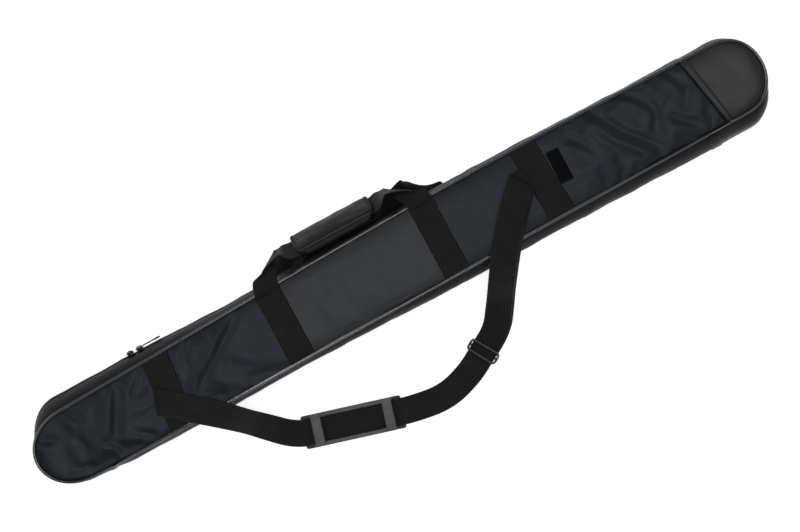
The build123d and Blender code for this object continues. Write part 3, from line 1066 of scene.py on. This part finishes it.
def make_rear():
    left = [x for x, side in LOOP if side > 0 and x < CAP_X] + [CAP_X - 0.3 * MM]
    right = [CAP_X] + [x for x, side in LOOP if side > 0 and x > CAP_X]
    left, right = sorted(left), sorted(right)
    rear_slab("rear_panel_cloth", left, NYLON, ["rear_panel"])
    rear_slab("cap_rear_vinyl", right, VINYL, ["cap_rear_panel"])


# ---------------------------------------------------------------- webbing on the front panel


def draped_band(name, x_of, y_low, y_high, width, lift, rows=60):
    """Webbing sewn across the panel: it follows the panel's surface. x_of gives its middle."""
    shares = [k / (RIBS * 4) for k in range(RIBS * 4 + 1)]
    top, bottom = [], []
    for i in range(rows + 1):
        y = y_low + (y_high - y_low) * i / rows
        row, under = [], []
        for share in shares:
            x = x_of(y) + (share - 0.5) * width
            z = panel_height(x, y) + lift
            edge = 1 - 0.5 * abs(2 * share - 1) ** 20
            row.append((x, y, z + WEBBING * edge + rib_shape(share)))
            under.append((x, y, z - 0.5 * MM))
        top.append(row)
        bottom.append(under)
    thing = slab(name, top, bottom)
    layer = thing.data.uv_layers[0]
    for loop in thing.data.loops:
        p = thing.data.vertices[loop.vertex_index].co
        layer.data[loop.index].uv = (p.y, p.x)
    return thing


def band_ends(x):
    low, high = panel_edges(x)
    return low + 0.9 * MM, high - 0.9 * MM


BAND_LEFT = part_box("strap_band_left")
BAND_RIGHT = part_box("strap_band_right")
# How far from a band's middle its stitches run, as a share of its width
BAND_STITCH = 0.43


def middle_of(box, k):
    return (box[0][k] + box[1][k]) / 2


def make_bands():
    for name, box, slant in (("left", BAND_LEFT, 0.09), ("right", BAND_RIGHT, -0.06)):
        x = middle_of(box, 0)
        low, high = band_ends(x)
        band = draped_band("strap_band_" + name + "_webbing", lambda y: x + slant * y, low, high,
                           box[1][0] - box[0][0], 0.1 * MM)
        dress(band, WEB, "lid", ["strap_band_" + name])
        lines = []
        for side in (-1, 1):
            path = []
            for k in range(50):
                y = low + 1 * MM + (high - low - 2 * MM) * k / 49
                px = x + slant * y + side * BAND_STITCH * (box[1][0] - box[0][0])
                path.append((px, y, panel_height(px, y) + WEBBING + 0.45 * MM))
            lines.append(stitch_line("band_stitch", path, 2.8 * MM, 0.5 * MM))
        stitches = join("strap_band_" + name + "_stitches", lines)
        dress(stitches, THREAD, "lid")


def make_label():
    """A small blank woven label, gently domed, sewn on at its two short sides."""
    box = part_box("label")
    x0, x1, y0, y1 = box[0][0], box[1][0], box[0][1], box[1][1]
    top = []
    for i in range(15):
        x = x0 + (x1 - x0) * i / 14
        row = []
        for k in range(31):
            y = y0 + (y1 - y0) * k / 30
            curl = 0.35 * MM * sin(pi * i / 14) + 0.2 * MM * sin(pi * k / 30)
            row.append((x, y, panel_height(x, y) + 0.75 * MM + curl))
        top.append(row)
    bottom = [[(x, y, z - 0.9 * MM) for x, y, z in row] for row in top]
    label = slab("blank_label_cloth", top, bottom)
    dress(label, LABEL, "lid", ["label"])
    lines = []
    for y in (y0 + 1.6 * MM, y1 - 1.6 * MM):
        path = [(x0 + (x1 - x0) * k / 12, y) for k in range(13)]
        path = [(x, y, panel_height(x, y) + 1.25 * MM) for x, y in path]
        lines.append(stitch_line("label_stitch", path, 2.2 * MM, 0.4 * MM))
    dress(join("label_stitches", lines), THREAD, "lid")


# ---------------------------------------------------------------- the carrying handle

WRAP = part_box("handle_wrap")
WRAP_MIDDLE = Vector((middle_of(WRAP, 0), 64.6 * MM, 18.9 * MM))
TILT = radians(49.6)
HANDLE_OUT = Vector((0, cos(TILT), -sin(TILT)))
HANDLE_UP = Vector((0, sin(TILT), cos(TILT)))
EAST = Vector((1, 0, 0))


def turning(keys, spine):
    """Widthwise directions that turn from key to key: keys are (x in mm, direction)."""
    result = []
    for p in spine:
        x = min(max(p.x / MM, keys[0][0]), keys[-1][0])
        for (x0, a), (x1, b) in zip(keys, keys[1:]):
            if x0 <= x <= x1:
                result.append(Vector(a).normalized().slerp(Vector(b).normalized(), smooth(x, x0, x1)))
                break
    return result


def make_handle_legs():
    lines = []
    legs = []
    for x in FRONT_LEGS:
        low, high = band_ends(x)
        legs.append(draped_band("leg", lambda y: x, low, high, LEG_WIDTH, 0.1 * MM))
        for y in (26 * MM, 31 * MM):
            path = [(x + (k / 12 - 0.5) * 25 * MM, y) for k in range(13)]
            path = [(px, py, panel_height(px, py) + WEBBING + 0.5 * MM) for px, py in path]
            lines.append(stitch_line("leg_stitch", path, 2.4 * MM, 0.5 * MM))
        for side in (-1, 1):
            path = [(x + side * 12.4 * MM, low + (high - low) * k / 40) for k in range(1, 40)]
            path = [(px, py, panel_height(px, py) + WEBBING + 0.5 * MM) for px, py in path]
            lines.append(stitch_line("leg_stitch", path, 2.8 * MM, 0.5 * MM))
    dress(join("front_handle_leg_webbing", legs), WEB, "lid", ["front_handle_legs"])
    dress(join("front_handle_leg_stitches", lines), THREAD, "lid")


def make_front_loop():
    """The front loop: over the piping, a quarter twist, through the wrap and back."""
    left, right = FRONT_LEGS
    top = panel_edges(left)[1], panel_edges(right)[1]
    route = [
        (left, top[0] - 4 * MM, 41.0 * MM),
        (left + 0.5 * MM, top[0] + 3 * MM, 42.8 * MM),
        (left + 6 * MM, 56 * MM, 41.5 * MM),
        (left + 17 * MM, 66 * MM, 36 * MM),
        (left + 28 * MM, 70 * MM, 29 * MM),
        (left + 34 * MM, 65 * MM, 22.5 * MM),
        (left + 46 * MM, WRAP_MIDDLE.y - 1.5 * MM, 19.4 * MM),
        (WRAP_MIDDLE.x - 20 * MM, WRAP_MIDDLE.y, WRAP_MIDDLE.z),
        (WRAP_MIDDLE.x + 20 * MM, WRAP_MIDDLE.y, WRAP_MIDDLE.z),
        (right - 44 * MM, WRAP_MIDDLE.y, 19.4 * MM),
        (right - 34 * MM, 69 * MM, 24 * MM),
        (right - 26 * MM, 73 * MM, 31 * MM),
        (right - 14 * MM, 66 * MM, 38 * MM),
        (right - 4 * MM, 56 * MM, 42 * MM),
        (right, top[1] + 2 * MM, 42.8 * MM),
        (right, top[1] - 4 * MM, 41.0 * MM),
    ]
    spine, _ = even_points(spline_points(route), 1.5 * MM)
    on_edge = (0, 0.25, -1)
    keys = [(-132, (1, 0, 0)), (-121, (0.75, 0.45, -0.45)), (-108, on_edge), (-99, HANDLE_OUT),
            (8, HANDLE_OUT), (20, on_edge), (33, (-0.8, 0.4, -0.45)), (44, (-1, 0, 0))]
    across = turning(keys, spine)
    loop = ribbon("front_handle_webbing", spine, across, LEG_WIDTH)
    dress(loop, WEB, None, ["front_handle_loop"])
    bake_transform(loop)


def make_rear_loop():
    """The rear loop: out of the rear panel, under the wrap and back."""
    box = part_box("rear_handle_legs")
    left, right = box[0][0] + LEG_WIDTH / 2, box[1][0] - LEG_WIDTH / 2
    under = WRAP_MIDDLE - HANDLE_UP * 8.6 * MM - HANDLE_OUT * 0.6 * MM
    route = [
        (left, 38 * MM, 1.0 * MM),
        (left, 46 * MM, 1.1 * MM),
        (left + 4 * MM, 54 * MM, 2.6 * MM),
        (left + 13 * MM, 58 * MM, 8 * MM),
        (left + 25 * MM, 58 * MM, 13 * MM),
        (left + 42 * MM, under.y - 1 * MM, under.z),
        (WRAP_MIDDLE.x, under.y, under.z - 0.5 * MM),
        (WRAP_MIDDLE.x + 38 * MM, under.y, under.z),
        (right - 58 * MM, 58.5 * MM, 14 * MM),
        (right - 40 * MM, 58.5 * MM, 15 * MM),
        (right - 27 * MM, 63.5 * MM, 16 * MM),
        (right - 13 * MM, 62 * MM, 11 * MM),
        (right - 2 * MM, 55 * MM, 4.0 * MM),
        (right, 46 * MM, 1.1 * MM),
        (right, 38 * MM, 1.0 * MM),
    ]
    spine, _ = even_points(spline_points(route), 1.5 * MM)
    keys = [(-127, (1, 0, 0)), (-119, (0.35, 0.85, 0.3)), (-103, (0, 0.85, 0.5)), (-86, HANDLE_OUT),
            (0, HANDLE_OUT), (12, (0, 0.82, 0.55)), (38, (0, 0.82, 0.5)), (54, (-0.6, 0.7, 0.2)),
            (64, (-1, 0, 0))]
    across = turning(keys, spine)
    loop = ribbon("rear_handle_webbing", spine, across, LEG_WIDTH)
    dress(loop, WEB, None, ["rear_handle_loop"])
    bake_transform(loop)
    for x in (left, right):
        leg = rounded_box("rear_handle_leg", (x - LEG_WIDTH / 2, 24 * MM, 0.05 * MM),
                          (x + LEG_WIDTH / 2, 40 * MM, 1.3 * MM), 0.5 * MM)
        dress(leg, WEB, "root", ["rear_handle_legs"])


def end_rounding(a):
    """How much shorter the wrap is at a distance a across it: its corners are round."""
    near = min(max((-9 * MM - a) / (8.2 * MM), 0.0), 1.0)
    far = min(max((a - 11 * MM) / (4.4 * MM), 0.0), 1.0)
    return 7 * MM * (1 - sqrt(1 - near * near)) + 3.5 * MM * (1 - sqrt(1 - far * far))


def wrap_section(a, n):
    return WRAP_MIDDLE + HANDLE_OUT * a + HANDLE_UP * n


def padded_strip(name, outline, thickness, half, puff):
    """A padded strip bent along an outline of (a, n) points, crowned between its sewn edges."""
    points, _ = even_points([(a, n, 0) for a, n in outline], 0.9 * MM)
    rows = 60
    top, bottom = [], []
    for i in range(rows + 1):
        share = 2 * i / rows - 1
        row, under = [], []
        for k, p in enumerate(points):
            before, after = points[max(k - 1, 0)], points[min(k + 1, len(points) - 1)]
            tangent = (after - before).normalized()
            normal = Vector((-tangent.y, tangent.x))
            s = 2 * k / (len(points) - 1) - 1
            x = share * (half - end_rounding(p.x))
            fullness = (1 - abs(s) ** 5) * (1 - abs(share) ** 9)
            soft = 0.5 * MM * noise.noise((x * 60, s * 1.5, puff * 100))
            high = thickness / 2 + (puff + soft) * fullness
            row.append(wrap_section(p.x + normal.x * high, p.y + normal.y * high) + EAST * x)
            low = thickness / 2
            under.append(wrap_section(p.x - normal.x * low, p.y - normal.y * low) + EAST * x)
        top.append(row)
        bottom.append(under)
    return slab(name, top, bottom)


def edge_binding(name, outline, half, radius):
    """The sewn binding round a strip's ends and free edge, following its bent outline."""
    section, _ = even_points([(a, n, 0) for a, n in outline], 1.2 * MM)

    def at(p, side):
        return wrap_section(p.x, p.y) + EAST * side * (half - end_rounding(p.x))

    first = section[0]
    reach = half - end_rounding(first.x)
    route = [at(p, -1) for p in reversed(section)]
    route += [wrap_section(first.x, first.y) + EAST * reach * (k / 20 - 1) for k in range(1, 40)]
    route += [at(p, 1) for p in section]
    return tube(name, route, radius, 8)


def mm_pairs(pairs):
    return [(a * MM, n * MM) for a, n in pairs]


# Sections of the wrap: (across it, above its middle), in mm. The fold joins the base to the flap
WRAP_BASE = mm_pairs([(14.8, -3.9), (0, -4.2), (-15.4, -4.6), (-17.6, -3.4),
                      (-18.2, 0), (-17.4, 3.1), (-15.4, 4.3), (-11.2, 4.4)])
WRAP_FLAP = mm_pairs([(-9.9, 4.2), (0, 4.4), (12.0, 4.1), (14.3, 2.9), (15.2, 0.6), (15.0, -1.8)])
WRAP_FOLD = mm_pairs([(12.4, -4.6), (14.6, -4.4), (15.9, -3.4), (16.2, -2.0), (16.0, -0.4), (15.2, 1.4)])


def wrap_sewn(half):
    """The wrap's padding is sewn down along its ends."""
    return lambda point: abs(point.x - WRAP_MIDDLE.x) > half - 4 * MM - end_rounding(
        (point - WRAP_MIDDLE).dot(HANDLE_OUT))


def make_wrap():
    """The padded wrap: a base that cups both loops and a flap closed over them."""
    half = (WRAP[1][0] - WRAP[0][0]) / 2 - 0.5 * MM
    base = padded_strip("wrap_base_pad", WRAP_BASE, 2.4 * MM, half, 0.4 * MM)
    inflate(base, wrap_sewn(half), 0.9 * MM)
    dress(base, WRAP_NYLON, "front_handle", ["handle_wrap"])
    flap = padded_strip("wrap_flap_pad", WRAP_FLAP, 2.6 * MM, half, 1.2 * MM)
    inflate(flap, wrap_sewn(half), 1.5 * MM)
    dress(flap, WRAP_NYLON, "wrap_flap", ["wrap_flap"])
    fold = padded_strip("wrap_fold_cloth", WRAP_FOLD, 1.2 * MM, half - 3 * MM, 0.0)
    dress(fold, WRAP_NYLON)
    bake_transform(fold)
    bound = edge_binding("wrap_base_binding", WRAP_BASE[::-1], half, 1.9 * MM)
    dress(bound, WEB, "front_handle")
    bound = edge_binding("wrap_flap_binding", WRAP_FLAP, half, 2.3 * MM)
    dress(bound, WEB, "wrap_flap")


# ---------------------------------------------------------------- the shoulder strap

# The strap's own line, in metres: the route of its plan and of its height together
STRAP_POINTS = [
    (-0.290, -0.0078, 0.0453),
    (-0.264, -0.0290, 0.0448),
    (-0.243, -0.0460, 0.0440),
    (-0.227, -0.0610, 0.0375),
    (-0.206, -0.0830, 0.0130),
    (-0.182, -0.1070, 0.0042),
    (-0.160, -0.1133, 0.0044),
    (-0.085, -0.1347, 0.0044),
    (-0.061, -0.1415, 0.0040),
    (-0.024, -0.1470, 0.0030),
    (0.009, -0.1370, 0.0042),
    (0.032, -0.1235, 0.0044),
    (0.055, -0.1100, 0.0048),
    (0.069, -0.0895, 0.0140),
    (0.083, -0.0675, 0.0345),
    (0.100, -0.0425, 0.0462),
    (0.123, -0.0135, 0.0466),
    (0.148, 0.0125, 0.0470),
]
RETURN_POINTS = [
    (0.0345, -0.1225, 0.0020),
    (0.0565, -0.1110, 0.0026),
    (0.0720, -0.0885, 0.0115),
    (0.0860, -0.0665, 0.0325),
    (0.1025, -0.0425, 0.0443),
    (0.1255, -0.0145, 0.0446),
    (0.1500, 0.0110, 0.0450),
]
LEFT_FOLD = (-0.34, -0.94)
RIGHT_FOLD = (0.53, -0.85)
FOLD_REACH = 26 * MM


def strap_across(spine, first=None, last=None):
    """Widthwise directions of webbing that leans with the slope it lies on.

    first and last are the directions of its two sewn folds."""
    found = []
    for i in range(len(spine)):
        before, after = spine[max(i - 3, 0)], spine[min(i + 3, len(spine) - 1)]
        tangent = (after - before).normalized()
        level = tangent.cross(Vector((0, 0, 1))).normalized()
        slope = 0.0
        if abs(tangent.y) > 0.2:
            slope = max(min(tangent.z / tangent.y, 1.2), -1.2)
        found.append(Vector((level.x, level.y, 0.55 * slope * level.y)))
    softened = []
    for i in range(len(found)):
        near = found[max(i - 4, 0):i + 5]
        softened.append(sum(near, Vector()) / len(near))
    count = len(softened)
    for fold, order in ((first, range(count)), (last, range(count - 1, -1, -1))):
        if fold:
            for k, i in enumerate(order):
                share = 1 - smooth(k * 2 * MM, 0, FOLD_REACH)
                softened[i] = softened[i].normalized().lerp(Vector((*fold, 0)).normalized(), share)
    return softened


def make_strap():
    spine, _ = even_points(spline_points(STRAP_POINTS), 2 * MM)
    strap = ribbon("shoulder_strap", spine, strap_across(spine, LEFT_FOLD, RIGHT_FOLD), STRAP_WIDTH)
    dress(strap, WEB, None, ["strap_main", "strap_end_left", "strap_end_right"])
    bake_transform(strap)
    under, _ = even_points(spline_points(RETURN_POINTS), 2 * MM)
    back = ribbon("strap_under_layer", under, strap_across(under, None, RIGHT_FOLD), STRAP_WIDTH)
    dress(back, WEB, None, ["strap_return"])
    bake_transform(back)
    return strap, spine, back, under


def strap_fold(name, at, heading, fold, levels):
    """The rounded fold that turns the strap's sewn end under itself."""
    low, high = levels
    heading = Vector((*heading, 0)).normalized()
    across = Vector((*fold, 0))
    radius = (high - low) / 2
    middle = Vector((*at, low + radius))
    line = [middle - heading * radius * 1.1 * sin(pi * k / 12) + Vector((0, 0, radius * cos(pi * k / 12)))
            for k in range(13)]
    line = [line[0] + heading * 2 * MM] + line + [line[-1] + heading * k * 2 * MM for k in range(1, 9)]
    fold = ribbon(name, line, [across] * len(line), STRAP_WIDTH)
    dress(fold, WEB, "lid")
    return fold


def strap_tab(name, start, end, level):
    """The strap's sewn end, seen where it runs under the band."""
    start, end = Vector((*start, level)), Vector((*end, level))
    line = [start.lerp(end, k / 8) for k in range(9)]
    across = (end - start).cross(Vector((0, 0, 1))).normalized()
    tab = ribbon(name, line, [across] * len(line), 0.8 * STRAP_WIDTH)
    dress(tab, WEB, "lid")


# ---------------------------------------------------------------- pad and adjuster


def turned(thing, centre, degrees):
    turn = Matrix.Translation(Vector(centre)) @ Matrix.Rotation(radians(degrees), 4, "Z")
    return place(thing, turn)


PAD_CENTRE = (-122.5 * MM, -124.0 * MM, 0)
PAD_ANGLE = -15.9
ADJUSTER_CENTRE = (32.0 * MM, -123.5 * MM, 0)
ADJUSTER_ANGLE = 30.4


def round_corners(half_x, half_y, radius, steps):
    """A rectangle's outline with round corners, each turned in a number of steps."""
    outline = []
    for cx, cy, start in ((1, 1, 0), (-1, 1, 90), (-1, -1, 180), (1, -1, 270)):
        for k in range(steps + 1):
            angle = radians(start + 90 * k / steps)
            outline.append((cx * (half_x - radius) + radius * cos(angle),
                            cy * (half_y - radius) + radius * sin(angle)))
    return outline


def rounded_plate(name, length, width, radius, z_low, z_high, edge):
    """A flat plate with round corners and softened rims."""
    outline = round_corners(length / 2, width / 2, radius, 8)
    levels = [(z_low, edge), (z_low + edge * 0.4, 0.35 * edge), (z_low + edge, 0), (z_high - edge, 0),
              (z_high - edge * 0.4, 0.35 * edge), (z_high, edge)]
    points = []
    for z, inset in levels:
        for x, y in outline:
            points.append((x * (1 - 2 * inset / length), y * (1 - 2 * inset / width), z))
    count = len(outline)
    faces = grid_faces(len(levels), count, closed=True)
    faces += end_faces(len(levels), count)
    thing = new_object(name, points, faces)
    fix_normals(thing)
    return thing


def on_pad(thing, material, replaces=()):
    """Places a piece of the shoulder pad on the strap."""
    turned(thing, PAD_CENTRE, PAD_ANGLE)
    dress(thing, material, "shoulder_pad", replaces)


def make_pad():
    plate = rounded_plate("pad_base_plate", 107 * MM, 35 * MM, 2.6 * MM, 0.4 * MM, 3.4 * MM, 0.8 * MM)
    ribs = [rounded_box("pad_rib", ((-46 + 4.6 * k) * MM, -13 * MM, 0.1 * MM),
                        ((-44 + 4.6 * k) * MM, 13 * MM, 0.6 * MM), 0.2 * MM, 2) for k in range(20)]
    base = join("shoulder_pad_base", [plate] + ribs)
    on_pad(base, PAD, ["shoulder_pad"])
    flanges = []
    for side in (-1, 1):
        flanges.append(rounded_box("flange", (-44 * MM, (side * 15.9 - 1.5) * MM, 3.0 * MM),
                                   (44 * MM, (side * 15.9 + 1.5) * MM, 7.6 * MM), 0.7 * MM))
        flanges.append(rounded_box("lip", (-33 * MM, (side * 15.0 - 1.9) * MM, 6.9 * MM),
                                   (33 * MM, (side * 15.0 + 1.9) * MM, 8.1 * MM), 0.5 * MM))
    on_pad(join("shoulder_pad_rails", flanges), PAD_LIGHT)
    bars = []
    for end in (-1, 1):
        bars.append(rounded_box("bar", ((end * 38 - 5.25) * MM, -17.3 * MM, 6.6 * MM),
                                ((end * 38 + 5.25) * MM, 17.3 * MM, 9.3 * MM), 0.9 * MM))
    on_pad(join("shoulder_pad_bars", bars), PAD_LIGHT)
    return base


def on_adjuster(thing, replaces=()):
    """Places a wire of the adjuster across the strap."""
    turned(thing, ADJUSTER_CENTRE, ADJUSTER_ANGLE)
    dress(thing, ENAMEL, "strap_adjuster", replaces)


def make_adjuster():
    half_long, half_short, corner = 16.2 * MM, 5.8 * MM, 3.0 * MM
    route = [(x, y, 6.5 * MM) for x, y in round_corners(half_short, half_long, corner, 6)]
    rounded = tube("adjuster_wire_frame", route, 1.25 * MM, 12, closed=True)
    on_adjuster(rounded, ["adjuster_frame"])
    bar_line = [(0, -half_long, 5.6 * MM), (0, -half_long, 3.2 * MM), (0, -half_long + 1.4 * MM, 1.8 * MM),
                (0, 0, 1.75 * MM), (0, half_long - 1.4 * MM, 1.8 * MM), (0, half_long, 3.2 * MM),
                (0, half_long, 5.6 * MM)]
    bar = tube("adjuster_middle_bar", bar_line, 1.15 * MM, 12)
    on_adjuster(bar, ["adjuster_bar"])
    for side in (-1, 1):
        curl = []
        for k in range(49):
            angle = 2 * pi * k / 16
            y = side * half_long + (k / 48 - 0.5) * 0.2 * MM
            curl.append(((k / 48 - 0.5) * 4.2 * MM,
                         y + 1.7 * MM * cos(angle) * 0.55,
                         6.5 * MM + 1.7 * MM * sin(angle)))
        on_adjuster(tube("adjuster_curl", curl, 0.6 * MM, 7))
    return rounded, bar


# ---------------------------------------------------------------- sliders and carried-over nodes


def node(name):
    return next(thing for thing in bpy.data.objects if thing.name == name or thing.get("node") == name)


def wear(name, material):
    """A CAD node keeps its shape and gets its material."""
    thing = node(name)
    if not thing.material_slots:
        thing.data.materials.append(material)
    for slot in thing.material_slots:
        slot.material = material


def make_sliders():
    for side in ("left", "right"):
        low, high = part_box("zip_slider_" + side)
        x = (low[0] + high[0]) / 2
        face, z = low[1] + 1.2 * MM, (low[2] + high[2]) / 2 + 0.2 * MM
        body = rounded_box("slider_body", (x - 4.4 * MM, face, z - 4.7 * MM),
                           (x + 4.4 * MM, face + 1.5 * MM, z + 4.7 * MM), 1.0 * MM, 4)
        nose = rounded_box("slider_nose", (x - 2.0 * MM, face + 1.2 * MM, z - 1.1 * MM),
                           (x + 2.0 * MM, face + 1.9 * MM, z + 1.1 * MM), 0.4 * MM)
        foot = rounded_box("slider_foot", (x - 3.5 * MM, low[1] - 1.6 * MM, z - 4.6 * MM),
                           (x + 3.5 * MM, face + 0.2 * MM, z - 2.8 * MM), 0.3 * MM)
        bail = [(x + 3.0 * MM * cos(t), face + 1.3 * MM + 1.5 * MM * sin(t), z)
                for t in np.linspace(0, pi, 15)]
        bridge = tube("slider_bail", bail, 0.6 * MM, 8)
        whole = join("zip_slider_" + side + "_cast", [body, nose, foot, bridge])
        dress(whole, ENAMEL, "zip_slider_" + side, ["zip_slider_" + side])


def make_pulls():
    """Cast leaf-shaped pulls: a frame round an opening, an eye on the bail and a thick tip."""
    for side, length, heading in (("right", 20, Vector((1, 0, 0))), ("left", 11.5, Vector((0, 0, -1)))):
        low, high = (Vector(corner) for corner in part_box("zip_pull_" + side))
        y = (low.y + high.y) / 2
        if side == "right":
            start, across = Vector((low.x, y, (low.z + high.z) / 2)), Vector((0, 0, 1))
        else:
            start, across = Vector(((low.x + high.x) / 2, y, high.z)), EAST
        rim = []
        for k in range(41):
            t = 2 * pi * k / 40
            swell = 1 + 0.28 * cos(t)
            rim.append(start + heading * (length / 2 * (1 - cos(t + pi))) * MM * 0.98
                       + across * sin(t) * (1.5 + 0.35 * swell) * MM)
        frame_tube = tube("pull_rim", rim[:-1], 0.75 * MM, 8, closed=True)
        tip = start + heading * (length * 0.78) * MM
        corner = Vector([abs(heading[k]) * length * 0.14 * MM + abs(across[k]) * 1.9 * MM for k in range(3)])
        corner.y = 1.0 * MM
        grip = rounded_box("pull_grip", tip - corner, tip + corner, 0.7 * MM)
        pull = join("zip_pull_" + side + "_cast", [frame_tube, grip])
        dress(pull, ENAMEL, "zip_pull_" + side, ["zip_pull_" + side])


CARRIED = {
    "rear_lining": LINING,
    "rear_foam": FOAM,
    "cue_divider": LINING,
    "zip_end_stops": ENAMEL,
    "retaining_straps": WEB,
    "wrap_padding_lower": FOAM,
    "wrap_padding_upper": FOAM,
    "wrap_hook_strip": HOOKS,
    "wrap_loop_strip": HOOKS,
}


# ---------------------------------------------------------------- camera, light and floor

CAMERA_TURN = -28.4
CAMERA_AT = (-2.0 * MM, -3.6 * MM, 3.4)
VIEW_WIDTH = 0.827
VIEW_LEVEL = 0.04


def make_camera():
    data = bpy.data.cameras.new("camera")
    data.sensor_width = 36.0
    data.lens = 36.0 * (CAMERA_AT[2] - VIEW_LEVEL) / VIEW_WIDTH
    camera = bpy.data.objects.new("camera", data)
    camera.location = CAMERA_AT
    camera.rotation_euler = (0, 0, radians(CAMERA_TURN))
    bpy.context.scene.collection.objects.link(camera)
    bpy.context.scene.camera = camera


def make_light(name, location, target, size, energy):
    data = bpy.data.lights.new(name, "AREA")
    data.shape = "RECTANGLE"
    data.size, data.size_y = size
    data.energy = energy
    lamp = bpy.data.objects.new(name, data)
    lamp.location = location
    lamp.rotation_euler = (Vector(target) - Vector(location)).to_track_quat("-Z", "Y").to_euler()
    bpy.context.scene.collection.objects.link(lamp)


def make_floor():
    m = Nodes("pale_floor")
    m.colour_ramp(m.noise("Object", 3.0), [(0.3, (0.9, 0.9, 0.9)), (0.7, (0.92, 0.92, 0.92))])
    m.surface(0.7, 0.2)
    m.shader.inputs["Emission Color"].default_value = (1, 1, 1, 1)
    m.shader.inputs["Emission Strength"].default_value = 0.75
    bpy.ops.mesh.primitive_plane_add(size=9, location=(0, 0, -0.0006))
    floor = bpy.context.object
    floor.name = "floor"
    floor.data.materials.append(m.material)


def make_surroundings():
    world = bpy.data.worlds.new("studio")
    world.use_nodes = True
    world.node_tree.nodes["Background"].inputs["Color"].default_value = (1, 1, 1, 1)
    world.node_tree.nodes["Background"].inputs["Strength"].default_value = 0.16
    scene = bpy.context.scene
    scene.world = world
    scene.view_settings.view_transform = "Standard"
    make_light("key", (-2.4, 2.4, 1.9), (0, 0, 0), (3.0, 2.4), 36)
    make_light("fill", (3.1, 0.8, 1.9), (0, 0, 0), (3.0, 2.4), 14)
    make_light("front", (0.2, -3.2, 1.9), (0, 0, 0), (3.4, 2.4), 16)
    make_light("ceiling", (0, 0, 3.9), (0, 0, 0), (2.4, 1.3), 13)
    make_light("overhead", (-0.12, -0.03, 3.8), (-0.05, 0, 0), (0.9, 0.6), 14.0)


make_camera()
strap, strap_line, back, back_line = make_strap()
pad = make_pad()
adjuster, adjuster_bar = make_adjuster()
strap_fold("strap_fold_left", STRAP_POINTS[0][:2], (1, -0.8), LEFT_FOLD, (0.0432, 0.0453))
strap_fold("strap_fold_right", STRAP_POINTS[-1][:2], (-0.65, -0.76), RIGHT_FOLD, (0.0438, 0.0470))
strap_tab("strap_tab_right", (0.145, 0.0130), (0.158, 0.0165), 0.0424)
make_gussets()
make_zip()
make_front_panel()
make_cap()
make_piping()
make_rear()
make_bands()
make_label()
make_handle_legs()
make_front_loop()
make_rear_loop()
make_wrap()
make_sliders()
make_pulls()
for carried, material in CARRIED.items():
    wear(carried, material)
make_floor()
make_surroundings()
